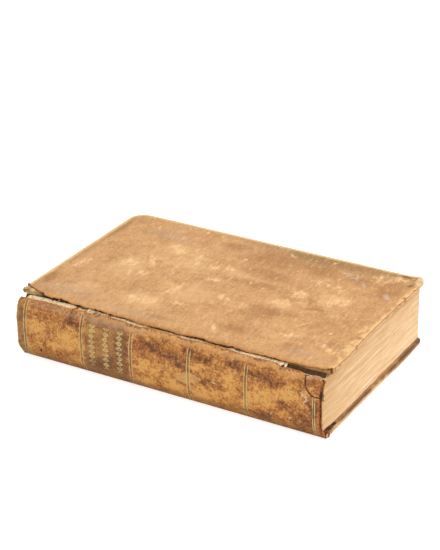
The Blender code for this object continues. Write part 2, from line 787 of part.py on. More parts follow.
def main():
    for item in list(bpy.data.objects):
        bpy.data.objects.remove(item, do_unlink=True)
    calf = make_material("calf", 0.40, 0.20, 0.09, 0.62)
    spine_calf = make_material("spine_calf", 0.26, 0.11, 0.05, 0.58)
    rope_board = make_material("millboard", 0.36, 0.28, 0.17, 0.90)
    rag_paper = make_material("rag_paper", 0.86, 0.64, 0.42, 0.85)
    lining_paper = make_material("lining_paper", 0.70, 0.58, 0.40, 0.90)
    marbled = make_material("endpaper", 0.62, 0.45, 0.30, 0.85)
    hemp = make_material("hemp", 0.55, 0.42, 0.25, 0.90)

    page_block(rag_paper)
    sewing_cords(hemp)
    spine_lining(lining_paper)
    spine_leather(spine_calf)
    spine_leather_scrap(spine_calf)
    for side in ("front", "back"):
        hinge = joint_line(f"{side}_joint", BOOK_THICKNESS if side == "front" else 0)
        item = board(side, rope_board, hinge)
        cord_slips(side, item, hemp, hinge)
        cover_leather(side, calf, hinge)
        pastedown(side, marbled, hinge)


main()
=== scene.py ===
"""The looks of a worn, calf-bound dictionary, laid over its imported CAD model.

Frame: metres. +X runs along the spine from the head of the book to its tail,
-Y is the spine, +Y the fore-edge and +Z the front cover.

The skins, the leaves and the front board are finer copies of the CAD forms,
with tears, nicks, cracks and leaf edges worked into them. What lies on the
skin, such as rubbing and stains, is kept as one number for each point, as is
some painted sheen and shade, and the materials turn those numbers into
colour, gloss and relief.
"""

import itertools
import math

import bpy
import numpy as np
from mathutils import Matrix, Vector


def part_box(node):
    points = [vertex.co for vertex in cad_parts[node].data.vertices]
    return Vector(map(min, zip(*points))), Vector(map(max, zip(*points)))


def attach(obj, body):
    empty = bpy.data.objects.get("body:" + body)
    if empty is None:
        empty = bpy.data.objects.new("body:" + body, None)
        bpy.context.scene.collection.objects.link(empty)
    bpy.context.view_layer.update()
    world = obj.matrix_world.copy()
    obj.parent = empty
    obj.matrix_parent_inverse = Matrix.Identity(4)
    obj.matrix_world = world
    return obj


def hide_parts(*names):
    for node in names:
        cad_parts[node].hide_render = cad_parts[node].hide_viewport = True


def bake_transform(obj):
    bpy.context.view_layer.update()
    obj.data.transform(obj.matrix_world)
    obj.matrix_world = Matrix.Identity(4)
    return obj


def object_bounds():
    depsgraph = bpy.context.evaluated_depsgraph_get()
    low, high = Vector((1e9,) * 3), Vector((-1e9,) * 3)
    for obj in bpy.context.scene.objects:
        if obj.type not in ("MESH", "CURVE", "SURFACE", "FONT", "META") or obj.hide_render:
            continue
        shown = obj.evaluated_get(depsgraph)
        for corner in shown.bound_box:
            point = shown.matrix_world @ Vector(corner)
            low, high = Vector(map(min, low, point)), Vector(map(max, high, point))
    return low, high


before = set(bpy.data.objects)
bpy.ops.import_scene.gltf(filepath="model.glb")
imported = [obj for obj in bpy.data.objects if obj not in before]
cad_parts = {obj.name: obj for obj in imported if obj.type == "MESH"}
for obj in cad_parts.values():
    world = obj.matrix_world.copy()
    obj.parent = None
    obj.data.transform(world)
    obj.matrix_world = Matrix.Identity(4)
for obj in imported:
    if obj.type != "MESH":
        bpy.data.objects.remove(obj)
cad_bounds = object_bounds()

# ---------------------------------------------------------------- sizes
MM = 0.001
BOARD_LENGTH = 0.2410
BOARD_WIDTH = 0.1573
TAIL_RUN_OUT = 0.0028        # how much longer the book is at its fore-edge
LEATHER = 0.0008
GLUE = 0.0002
MILLBOARD = 0.0021
PARED_LEATHER = 0.00045
TURN_IN_WIDTH = 0.0140
EDGE_ROUND = 0.0012
CORNERS = {"front": (0.0130, 0.0058), "back": (0.0040, 0.0040)}
SPLIT_CLEARANCE = 0.0003

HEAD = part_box("back_cover_leather")[0].x
TAIL = HEAD + BOARD_LENGTH
FORE_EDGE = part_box("front_cover_leather")[1].y
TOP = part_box("front_cover_leather")[1].z
SPINE_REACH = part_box("spine_leather")[0].y
JOINT = FORE_EDGE - BOARD_WIDTH
BOARD_DEPTH = LEATHER + GLUE
TURN_IN_DEPTH = BOARD_DEPTH + MILLBOARD + GLUE

# Leaves
LEAF_LOW, LEAF_HIGH = (corner.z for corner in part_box("page_block"))
# How far the covers stand past the leaves.
HEAD_SQUARE, TAIL_SQUARE, FORE_SQUARE = 0.0026, 0.0020, 0.0034
LEAF_HEAD, LEAF_TAIL = HEAD + HEAD_SQUARE, TAIL - TAIL_SQUARE
LEAVES_MIDDLE = (LEAF_LOW + LEAF_HIGH) / 2
LEAVES_THICKNESS = LEAF_HIGH - LEAF_LOW
GATHERINGS = 34

# The rounded back
SHOULDER_SET = 0.0024
BACK_ROUND = 0.0068
BACK_FULLNESS = 2.2
FULLNESS_BELOW = 4.0         # the lower half of the back is squarer
COCK_AT_HEAD, COCK_AT_TAIL = 0.0016, 0.0034
PINCH = 0.0018
PINCH_RUN = 0.0300
FORE_HOLLOW = 0.0006
SKIN_DISTANCE = 0.00165      # from the back of the leaves to the skin's face
JOINT_RISE = 0.00015
CAP_LEATHER = 0.0019
HEAD_WEAR = 0.0012
TAIL_WEAR = 0.0002
TOOL_PITCH = 0.0021
LAST_PITCH = 0.0015          # the rule by the tail is narrower
TOOL_DEPTH = 0.00012

# The split along the front joint
LIP_RADIUS = 0.0024
LIP_SET = 0.0008
SPLIT_OPENING = 0.0006

# Shares of the length, from head to tail, as in the CAD source.
CORD_STATIONS = (0.13, 0.37, 0.62, 0.87)
RULE_STATIONS = (0.034, 0.229, 0.396, 0.584, 0.764, 0.972)
LIP_DROP = (
    (0.004, -0.0060), (0.037, -0.0024), (0.054, -0.0003), (0.090, 0.0008),
    (0.175, 0.0012), (0.195, 0.0020), (0.215, 0.0020), (0.270, 0.0010),
    (0.298, 0.0024), (0.320, 0.0023), (0.346, 0.0015), (0.382, 0.0025),
    (0.415, 0.0029), (0.505, 0.0032), (0.550, 0.0030), (0.595, 0.0018),
    (0.660, 0.0024), (0.725, 0.0020), (0.771, 0.0025), (0.800, 0.0019),
    (0.870, 0.0019), (0.930, 0.0012), (0.980, 0.0008), (0.998, 0.0002),
)
SPINE_LIP_CURL = (
    (0.000, 0.0001), (0.060, 0.0006), (0.130, 0.0006), (0.240, 0.0012),
    (0.300, 0.0018), (0.450, 0.0016), (0.700, 0.0015), (0.850, 0.0012),
    (0.900, 0.0002), (0.960, 0.0008), (1.000, 0.0010),
)
SPINE_LIP_LOSS = (
    (0.000, 0.0036), (0.050, 0.0030), (0.090, 0.0013), (0.135, 0.0015),
    (0.160, 0.0022), (0.190, 0.0012), (0.230, 0.0018), (0.262, 0.0030),
    (0.285, 0.0012), (0.345, 0.0013), (0.370, 0.0022), (0.415, 0.0026),
    (0.435, 0.0014), (0.500, 0.0018), (0.552, 0.0022), (0.600, 0.0015),
    (0.690, 0.0012), (0.730, 0.0020), (0.790, 0.0018), (0.852, 0.0014),
    (0.864, 0.0042), (0.876, 0.0026), (0.900, 0.0022), (0.925, 0.0027),
    (0.938, 0.0048), (1.000, 0.0062),
)
CRACK = ((0.9385, 1.050), (0.9400, 0.860), (0.9420, 0.800), (0.9500, 0.750),
         (0.9640, 0.685), (0.9760, 0.672), (1.0100, 0.690))
# How far the torn lining and board stand up in the split, below the top face.
LINING_TOP = (
    (0.022, 0.0037), (0.035, 0.0038), (0.055, 0.0035), (0.076, 0.0032),
    (0.103, 0.0030), (0.131, 0.0032), (0.150, 0.0029), (0.174, 0.0028),
    (0.188, 0.0033), (0.221, 0.0035), (0.244, 0.0026), (0.267, 0.0030),
    (0.322, 0.0031), (0.415, 0.0038), (0.505, 0.0042),
    (0.560, 0.0040), (0.600, 0.0037), (0.627, 0.0040), (0.690, 0.0041),
    (0.700, 0.0031), (0.708, 0.0031), (0.721, 0.0039), (0.747, 0.0035),
    (0.800, 0.0033), (0.862, 0.0032), (0.874, 0.0027), (0.879, 0.0070), (1.000, 0.0070),
)

# The scene's skin stands this much further than the CAD skin, at the head and at the scrap.
LIP_REMAINS = (
    (0.000, 0.0008), (0.020, 0.0013), (0.052, 0.0006), (0.080, 0.0), (0.944, 0.0),
    (0.955, 0.0014), (0.967, 0.0026), (0.974, 0.0027), (0.985, 0.0022), (1.000, 0.0004),
)
# How far below the tear the gold of the rules starts.
GOLD_STARTS = (
    (0.000, 0.0015), (0.100, 0.0015), (0.229, 0.0028), (0.300, 0.0060), (0.800, 0.0063), (0.900, 0.0),
)

# Wear, listed one by one: the middle in mm from the head and from the
# joint, half its length and half its width, and the way it runs in degrees.
COVER_SCUFFS = (
    (67, 151, 7, 2, -40), (83, 147, 6, 2.2, -70), (31, 138, 5, 1, -60), (64, 113, 9, 6, -50),
    (85, 106, 14, 6, -60), (101, 100, 10, 4, -60), (113, 101, 4, 3, 0), (113, 118, 2, 1.4, 0),
    (44, 74, 7, 6, 50), (56, 85, 7, 5, -50), (78, 75, 14, 2.2, -80), (93, 50, 13, 4, 80),
    (74, 26, 5, 4, 0), (86, 27, 10, 6, 30), (108, 33, 9, 3, 0), (110, 80, 8, 4, 0),
    (131, 58, 8, 4, -30), (167, 70, 8, 5, 20), (176, 89, 8, 5, -50), (182, 112, 7, 4, 0),
    (196, 110, 7, 3.5, -60), (205, 90, 12, 6, 45), (176, 146, 5, 1.4, 80), (217, 139, 9, 6, -20),
    (228, 146, 7, 4, 0), (149, 84, 2.4, 1.8, 0), (144, 144, 1.8, 1.4, 0), (237, 62, 9, 2, 90),
    (237, 34, 12, 1.6, 90), (195, 29, 9, 4, 45), (197, 47, 9, 0.9, 60), (226, 24, 10, 2.4, -30),
    (147, 14, 8, 2, -50), (134, 24, 8, 0.9, -80), (12, 57, 11, 5, 80), (19, 15, 1.8, 1.8, 0),
    (62, 62, 5, 4, 0), (169, 30, 6, 1.2, 70), (52, 60, 9, 1.5, -70),
)
COVER_DARK = (
    (135, 130, 24, 14, 0), (140, 106, 18, 8, 0), (142, 88, 15, 6, 0), (60, 86, 4, 2.4, 0),
    (165, 52, 16, 8, 20), (205, 14, 7, 5, 0), (114, 28, 1.6, 1.6, 0), (5, 122, 14, 4, 90),
    (160, 20, 9, 6, 0), (100, 138, 12, 6, 0), (190, 148, 20, 5, 0), (184, 84, 5, 3, 30),
    (7, 24, 9, 4, 90), (196, 72, 8, 3, 20), (106, 8, 8, 3, 0), (226, 126, 10, 16, 0), (205, 132, 14, 8, 0),
    (170, 132, 14, 10, 0), (155, 148, 18, 7, 0),
)
COVER_BLOOM = ((209, 124, 4.5, 1.4, -50), (197, 132, 12, 0.7, -22), (230, 115, 4.5, 2.4, -50),
               (190, 137, 14, 0.6, 5))
COVER_SPOTS = ((115, 121, 2.2, 1.4, 0), (219.5, 45, 1.4, 1.4, 0), (74, 27, 2.6, 2.0, 0),
               (209.5, 68.5, 1, 1, 0), (157.5, 122.5, 1, 0.8, 20), (44, 133, 0.9, 0.9, 0),
               (43, 76, 2.4, 2.4, 0))
COVER_PALE = (
    (45, 68, 14, 16, 0), (76, 92, 24, 9, 0), (60, 112, 14, 8, 0), (132, 97, 22, 8, 0),
    (108, 50, 20, 13, 0), (83, 27, 15, 12, 0), (182, 80, 6, 7, 0), (176, 66, 8, 8, 0), (35, 22, 12, 8, 0),
    (150, 50, 12, 5, 0), (196, 92, 10, 8, 0),
)
COVER_FILM = ((25, 14, 22, 8, 0), (85, 6, 22, 4, 0), (47, 131, 18, 6, 0), (200, 134, 10, 2, 10),
              (215, 12, 16, 3, 0))
TAIL_NICKS = ((242.0, 120, 1.8, 1.8, 0), (242.0, 38, 1.0, 1.4, 0), (242.6, 50.5, 0.9, 1.0, 0))
CORNER_BRUISES = ((237.5, 140.5, 1.6, 2.8, -30), (230, 153, 5, 1.8, -10))
INK_SPOT = ((19, 41, 1.8, 1.0, 80),)
# The same on the spine, in mm from the head and up from the table.
SPINE_LIGHT = (
    (44, 26, 9, 7.5, 0), (32, 17, 6, 3.5, 20), (64, 37, 6, 4, 0), (109, 22, 9, 4.5, -20),
    (106, 11, 8, 4, 0), (173, 27, 5, 10, 0), (149, 32, 4, 4, 0), (200, 25, 11, 7, 0),
    (17, 30, 6, 8, 0), (160, 14, 12, 5, 0), (128, 13, 9, 4, 0), (188, 17, 9, 6, 20), (216, 32, 5, 6, 0),
)
SPINE_DARK = (
    (4, 14, 2, 8, 0), (4, 36, 2, 5, 0), (20, 38, 5, 2.4, 0), (120, 36.5, 20, 3.6, -8), (152, 24, 8, 2.2, -6),
    (148, 40, 9, 3, 0), (176, 40, 6, 4.5, 0), (201, 37.5, 17, 4, -8), (213, 21, 5, 2.6, 0),
    (227, 12, 7, 9, 0), (88, 22, 7, 16, 0), (50, 40, 6, 3, 0), (233, 20, 3, 14, 0), (70, 14, 14, 5, 0),
    (137, 29, 9, 1.6, -12), (196, 9, 12, 3, 0),
)
SPINE_PEELED = ((140, 22, 10, 4.0, 5),)
SPINE_NICK = ((20.3, 10.5, 0.9, 1.8, -15), (19, 13, 0.5, 1.2, 10))
SPINE_CHALK = ((226.0, 34.2, 1.2, 0.8, 0), (225.5, 32.8, 0.5, 1.2, 0), (228.6, 33.0, 0.7, 1.1, -30),
               (229.0, 30.9, 0.8, 1.4, 10), (228.0, 29.2, 1.1, 0.6, 20), (217.0, 13.2, 0.9, 0.9, 0),
               (218.0, 33.0, 0.3, 6.0, 0), (160.5, 24, 2.4, 0.6, -5), (203, 12, 0.4, 1.8, -20))

# How far the skin of each tail edge stands off the board: (share of the width, reach).
TAIL_BULGE = {
    "front": ((0.00, 0.0006), (0.05, 0.0013), (0.15, 0.0014), (0.27, 0.0001), (0.45, -0.0006),
              (0.68, -0.0009), (0.80, -0.0003), (0.88, 0.0), (1.00, 0.0)),
    "back": ((0.00, 0.0), (0.60, 0.0002), (0.70, 0.0009), (0.80, 0.0010), (0.88, 0.0006), (1.00, 0.0)),
}

CORNER_SWELL = 0.0014        # how far the soaked front corner at the tail has swollen up
COVER_INSIDE = 0.0042        # from a cover's outer face to its pastedown
FORE_COLUMNS = 372           # points along the fore-edge of a cover's skin
JOINT_CORD_RADIUS = 0.00062
FLOOR_DROP = 0.00045         # the floor lies just below the face of the opened back cover

# The stained panel of the spine, from the head, and the three rows of lozenges in it.
PANEL_START, PANEL_END = 0.0575, 0.0928
STAMPED_LOW, STAMPED_HIGH = 0.010, 0.0425
ROWS_START = 0.0587
ROW_PITCH, LOZENGE_PITCH = 0.0111, 0.0040

# The camera: degrees round the book, above it and rolled, and how far off, across and up.
VIEW_TURN, VIEW_LIFT, VIEW_ROLL = 28.186, 25.458, 0.884
VIEW_DISTANCE, VIEW_ACROSS, VIEW_UP = 1.15028, 0.0028165, 0.0519749
LENS = 103.14

rng = np.random.default_rng(11)


# ------------------------------------------------------- uneven surfaces
def unit(value):
    """The value, but no less than 0 and no more than 1."""
    return np.clip(value, 0, 1)

def hashed(cells, seed):
    """A repeatable number from 0 to 1 for each whole-numbered cell of space."""
    cells = cells.astype(np.uint64)
    value = cells[..., 0] * np.uint64(0x9E3779B97F4A7C15)
    value = (value ^ (cells[..., 1] * np.uint64(0xC2B2AE3D27D4EB4F))) * np.uint64(0x165667B19E3779F9)
    value = (value ^ (cells[..., 2] + np.uint64(seed * 7919 + 1))) * np.uint64(0xD6E8FEB86659FD93)
    value = (value ^ (value >> np.uint64(31))) * np.uint64(0x9E3779B97F4A7C15)
    return (value >> np.uint64(40)).astype(float) / 2 ** 24


def wander(size, x, y=0.0, z=0.0, seed=0):
    """Smooth noise from -1 to 1 with lumps of about that size, at arrays of places."""
    x, y, z = np.broadcast_arrays(np.asarray(x, float), y, z)
    scaled = np.stack([x, y, z], axis=-1) / size + 1000
    cells = np.floor(scaled).astype(np.int64)
    share = scaled - cells
    share = share * share * (3 - 2 * share)
    total = 0
    for corner in itertools.product((0, 1), repeat=3):
        weight = np.prod(np.where(corner, share, 1 - share), axis=-1)
        total = total + weight * hashed(cells + corner, seed)
    return 2 * total - 1


def crumple(size, x, y=0.0, z=0.0, seed=0):
    """Rougher noise: three sizes of lumps on top of each other."""
    return (wander(size, x, y, z, seed) + 0.5 * wander(size / 2.3, x, y, z, seed + 1)
            + 0.25 * wander(size / 5.1, x, y, z, seed + 2)) / 1.4


def curve_at(points, places):
    """The height of a line of (place, height) points at an array of places."""
    return np.interp(places, [place for place, height in points], [height for place, height in points])


def along(x):
    return (x - HEAD) / BOARD_LENGTH


def patches(x, y, marks):
    """1 in the middle of the nearest patch of wear, down to 0 outside them all."""
    found = np.zeros(np.broadcast(x, y).shape)
    for middle_x, middle_y, half_long, half_wide, way in marks:
        turn = math.radians(way)
        right, up = x - middle_x * MM, y - middle_y * MM
        u = (right * math.cos(turn) + up * math.sin(turn)) / (half_long * MM)
        v = (up * math.cos(turn) - right * math.sin(turn)) / (half_wide * MM)
        found = np.maximum(found, unit(1.5 - np.hypot(u, v)))
    return found


# --------------------------------------------------------------- meshes
def grid_faces(rows, columns):
    """Quads between the points of a grid that is stored row by row."""
    first = (np.arange(rows - 1)[:, None] * columns + np.arange(columns - 1)).ravel()
    return np.stack([first, first + 1, first + columns + 1, first + columns], axis=1)


def normals_of(points, faces):
    """The outward direction at each point of a sheet of quads."""
    a, b, c, d = (points[faces[:, i]] for i in range(4))
    across = np.cross(c - a, d - b)
    total = np.zeros_like(points)
    for i in range(4):
        np.add.at(total, faces[:, i], across)
    return total / np.maximum(np.linalg.norm(total, axis=1), 1e-12)[:, None]


def free_edges(faces):
    """The edges that only one face uses, each in that face's direction."""
    edges = np.concatenate([faces[:, [i, (i + 1) % 4]] for i in range(4)])
    owner = np.tile(np.arange(len(faces)), 4)
    first, count = np.unique(np.sort(edges, axis=1), axis=0, return_index=True, return_counts=True)[1:]
    return edges[first[count == 1]], owner[first[count == 1]]


def with_cut_edge(points, faces, thickness, under=0.0022):
    """Gives a skin its thickness at every free edge, and a strip of its underside.

    Returns the points, the faces, which of the faces are new, and for each
    point the point of the old sheet that it goes with.
    """
    edges, owner = free_edges(faces)
    rim, place = np.unique(edges, return_inverse=True)
    place = place.reshape(edges.shape)
    normals = normals_of(points, faces)[rim]
    inward = np.zeros((len(rim), 3))
    to_middle = points[faces[owner]].mean(axis=1) - points[edges].mean(axis=1)
    for end in (0, 1):
        np.add.at(inward, place[:, end], to_middle)
    inward /= np.maximum(np.linalg.norm(inward, axis=1), 1e-12)[:, None]
    depth = (np.broadcast_to(thickness, len(points))[rim])[:, None]
    low = points[rim] - normals * depth
    behind = low + inward * under
    start = len(points)
    lower, inner = place + start, place + start + len(rim)
    cut = np.stack([edges[:, 1], edges[:, 0], lower[:, 0], lower[:, 1]], axis=1)
    back = np.stack([lower[:, 1], lower[:, 0], inner[:, 0], inner[:, 1]], axis=1)
    source = np.concatenate([np.arange(start), rim, rim])
    old = len(faces)
    faces = np.concatenate([faces, cut, back])
    return np.concatenate([points, low, behind]), faces, np.arange(len(faces)) >= old, source


def make_mesh(name, points, faces, materials, marks, shown, crease):
    """A mesh object, with a number per point for each named mark."""
    mesh = bpy.data.meshes.new(name)
    mesh.from_pydata(np.asarray(points, float).tolist(), [], [list(map(int, face)) for face in faces])
    item = bpy.data.objects.new(name, mesh)
    bpy.context.scene.collection.objects.link(item)
    for material in materials:
        mesh.materials.append(material)
    for mark, values in marks.items():
        kind = 'FLOAT' if np.ndim(values) == 1 else 'FLOAT_VECTOR'
        layer = mesh.attributes.new(mark, kind, 'POINT')
        layer.data.foreach_set('value' if kind == 'FLOAT' else 'vector',
                               np.asarray(values, np.float32).ravel())
    if shown is not None:
        mesh.polygons.foreach_set('material_index', np.asarray(shown, np.int32))
    mesh.shade_smooth()
    mesh.set_sharp_from_angle(angle=math.radians(crease))
    mesh.update()
    return item


def piece(name, points, faces, materials, marks=None, shown=None, crease=35, proud=0.0):
    """A piece of the book, from points that are placed as if its tail were square.

    The tail edges run out towards the fore-edge, as in the CAD source, and
    nothing stands further than proud above the CAD model's own box.
    """
    points = np.array(points, float)
    share = np.maximum(points[:, 1] - JOINT, 0) / BOARD_WIDTH
    points[:, 0] += TAIL_RUN_OUT * share * along(points[:, 0])
    low, high = np.array(cad_bounds)
    points = np.clip(points, low, high + [0, 0, proud])
    return make_mesh(name, points, faces, materials, marks or {}, shown, crease)


# ------------------------------------------------------------ materials
def colour(code):
    """An sRGB hex colour as the linear values that a shader takes."""
    shares = [int(code[i:i + 2], 16) / 255 for i in (1, 3, 5)]
    linear = [s / 12.92 if s <= 0.04045 else ((s + 0.055) / 1.055) ** 2.4 for s in shares]
    return (*linear, 1.0)


def add(tree, kind, links=None, **settings):
    """Adds a node. links gives each socket a value, a node or another socket."""
    node = tree.nodes.new("ShaderNode" + kind)
    for name, value in settings.items():
        setattr(node, name, value)
    for socket, value in (links or {}).items():
        if isinstance(value, bpy.types.Node):
            value = value.outputs[0]
        if isinstance(value, bpy.types.NodeSocket):
            tree.links.new(value, node.inputs[socket])
        else:
            node.inputs[socket].default_value = value
    return node


def new_material(name):
    material = bpy.data.materials.new(name)
    material.use_nodes = True
    tree = material.node_tree
    shader = tree.nodes["Principled BSDF"]
    place = add(tree, "TexCoord").outputs["Object"]
    return material, tree, shader, place


def mark(tree, name):
    return add(tree, "Attribute", attribute_name=name).outputs["Fac"]

def tinted(tree, base, tints):
    """Lays tints over a colour. Each is (value, where it starts, where it is full, amount, tone)."""
    for value, start, full, amount, tone in tints:
        share = add(tree, "MapRange", {"Value": value, "From Min": start, "From Max": full, "To Max": amount})
        base = add(tree, "MixRGB", {"Fac": share, "Color1": base, "Color2": colour(tone)})
    return base

def scratches(tree, place, size, detail, bend, widths, broken):
    """Hairline scratches: the level lines of a bent noise, where broken lets them show."""
    line = add(tree, "TexNoise", {"Vector": place, "Scale": 1 / size, "Detail": detail, "Distortion": bend})
    line = add(tree, "Math", {0: line, 1: 0.5}, operation='SUBTRACT')
    line = add(tree, "Math", {0: line}, operation='ABSOLUTE')
    line = add(tree, "MapRange", {"Value": line, "From Min": widths[0], "From Max": widths[1]})
    return add(tree, "Math", {0: line, 1: broken}, operation='MULTIPLY')

def set_surface(tree, shader, base, roughness, height, strength, distance):
    """Gives a material its colour, its roughness, as a value or a node, and its relief."""
    tree.links.new(base.outputs[0], shader.inputs["Base Color"])
    if isinstance(roughness, float):
        shader.inputs["Roughness"].default_value = roughness
    else:
        tree.links.new(roughness.outputs[0], shader.inputs["Roughness"])
    bump = add(tree, "Bump", {"Height": height, "Strength": strength, "Distance": distance})
    tree.links.new(bump.outputs[0], shader.inputs["Normal"])


def cover_calf():
    """Calf, dyed tan and polished with an iron.

    Handling has darkened it to an olive brown near its edges, and has rubbed
    the polish off in feathery, streaky patches, down to the pale fibres. The
    crest of each board edge is bare and pale.
    """
    material, tree, shader, place = new_material("cover_calf")
    clouds = add(tree, "TexNoise", {"Vector": place, "Scale": 1 / 0.040, "Detail": 4.0})
    mottle = add(tree, "TexNoise", {"Vector": place, "Scale": 1 / 0.009, "Detail": 7.0, "Roughness": 0.62})
    feather = add(tree, "TexNoise", {"Vector": place, "Scale": 1 / 0.0048, "Detail": 9.0, "Roughness": 0.88,
                                     "Distortion": 0.5})
    brushed = add(tree, "Mapping", {"Vector": place, "Rotation": (0, 0, 1.65),
                                    "Scale": (0.009, 0.0026, 0.004)}, vector_type='TEXTURE')
    brushed = add(tree, "TexNoise", {"Vector": brushed, "Scale": 1.0, "Detail": 7.0, "Roughness": 0.75,
                                     "Distortion": 0.4})
    grain = add(tree, "TexNoise", {"Vector": place, "Scale": 1 / 0.0017, "Detail": 4.0, "Roughness": 0.7})

    cloudy = add(tree, "MapRange", {"Value": clouds, "From Min": 0.36, "From Max": 0.64})
    base = add(tree, "MixRGB", {"Fac": cloudy, "Color1": colour("#CA9257"), "Color2": colour("#DAA266")})
    base = tinted(tree, base, (
        (mottle, 0.52, 0.72, 0.60, "#E6B47B"), (mottle, 0.48, 0.30, 0.60, "#AE7843"),
        (brushed, 0.53, 0.70, 0.50, "#ECBC82"), (brushed, 0.46, 0.30, 0.50, "#AA7440"),
        (grain, 0.53, 0.70, 0.50, "#F2C388"), (grain, 0.47, 0.30, 0.52, "#9E6936")))
    pale = add(tree, "Math", {0: mark(tree, "pale"), 1: mottle}, operation='MULTIPLY')
    dark = add(tree, "Math", {0: mark(tree, "dark"), 1: mottle}, operation='MULTIPLY')
    edge = add(tree, "Math", {0: mark(tree, "edge"), 1: mottle}, operation='ADD')
    base = tinted(tree, base, (
        (pale, 0.05, 0.60, 0.62, "#F1BE82"), (dark, 0.05, 0.50, 0.78, "#AD733A"),
        (mark(tree, "film"), 0.0, 1.0, 0.50, "#C79F7C"),
        (edge, 0.66, 1.42, 0.85, "#987440")))

    flecks = add(tree, "TexNoise", {"Vector": place, "Scale": 1 / 0.0022, "Detail": 6.0, "Roughness": 0.8,
                                    "Distortion": 0.6})
    rubbed = add(tree, "Math", {0: feather, 1: 0.60}, operation='MULTIPLY')
    rubbed = add(tree, "Math", {0: flecks, 1: 0.42, 2: rubbed}, operation='MULTIPLY_ADD')
    rubbed = add(tree, "Math", {0: brushed, 1: 0.62, 2: rubbed}, operation='MULTIPLY_ADD')
    scuff = add(tree, "Math", {0: mark(tree, "scuff"), 1: 0.120, 2: rubbed}, operation='MULTIPLY_ADD')
    scuff = add(tree, "Math", {0: mark(tree, "pale"), 1: 0.032, 2: scuff}, operation='MULTIPLY_ADD')
    light = add(tree, "MapRange", {"Value": scuff, "From Min": 0.81, "From Max": 0.97, "To Max": 0.60})
    base = add(tree, "MixRGB", {"Fac": light, "Color1": base, "Color2": colour("#E5B27A")})
    scuff = add(tree, "MapRange", {"Value": scuff, "From Min": 0.905, "From Max": 0.985, "To Max": 0.90},
                interpolation_type='SMOOTHSTEP')
    base = add(tree, "MixRGB", {"Fac": scuff, "Color1": base, "Color2": colour("#F8CA8E")})

    broken = add(tree, "MapRange", {"Value": mottle, "From Min": 0.52, "From Max": 0.62, "To Max": 0.6})
    hair = scratches(tree, place, 0.015, 2.5, 2.4, (0.007, 0.002), broken)
    base = add(tree, "MixRGB", {"Fac": hair, "Color1": base, "Color2": colour("#F6CA94")})

    crest = add(tree, "Math", {0: mark(tree, "crest"), 1: 0.75, 2: feather}, operation='MULTIPLY_ADD')
    torn = add(tree, "Math", {0: mark(tree, "torn"), 1: mottle}, operation='ADD')
    nicked = add(tree, "Math", {0: mark(tree, "nicked"), 1: feather}, operation='ADD')
    dusty = add(tree, "Math", {0: mark(tree, "dusty"), 1: mottle}, operation='ADD')
    bruise = add(tree, "Math", {0: mark(tree, "bruise"), 1: mottle}, operation='ADD')
    bloom_and_sheen = add(tree, "Math", {0: mark(tree, "bloom_and_sheen"), 1: feather}, operation='MULTIPLY')
    base = tinted(tree, base, (
        (crest, 0.80, 1.10, 0.9, "#EFC482"), (bruise, 0.80, 1.20, 0.9, "#8A5E30"),
        (dusty, 0.80, 1.15, 0.9, "#DDB27C"), (nicked, 0.88, 1.08, 0.9, "#B56A2B"),
        (torn, 0.85, 1.15, 1.0, "#D48A42"), (mark(tree, "bare"), 0.1, 0.9, 1.0, "#ECCB98"),
        # crack darkens the front corner's outline and crease, and paints the shadow line under the leaves on
        # the back cover's tail.
        (mark(tree, "crack"), 0.3, 0.9, 0.90, "#52300F"), (mark(tree, "spot"), 0.3, 0.8, 0.8, "#F8CA90"),
        (bloom_and_sheen, 0.1, 0.6, 0.55, "#DDCBC2"), (mark(tree, "ink"), 0.3, 0.9, 0.65, "#857A6A"),
        (grain, 0.30, 0.22, 0.5, "#8A5A30")))

    gloss = add(tree, "MapRange", {"Value": scuff, "To Min": 0.5, "To Max": 0.8})
    relief = add(tree, "Math", {0: grain, 1: 0.5, 2: feather}, operation='MULTIPLY_ADD')
    set_surface(tree, shader, base, gloss, relief, 0.7, 0.0004)
    return material


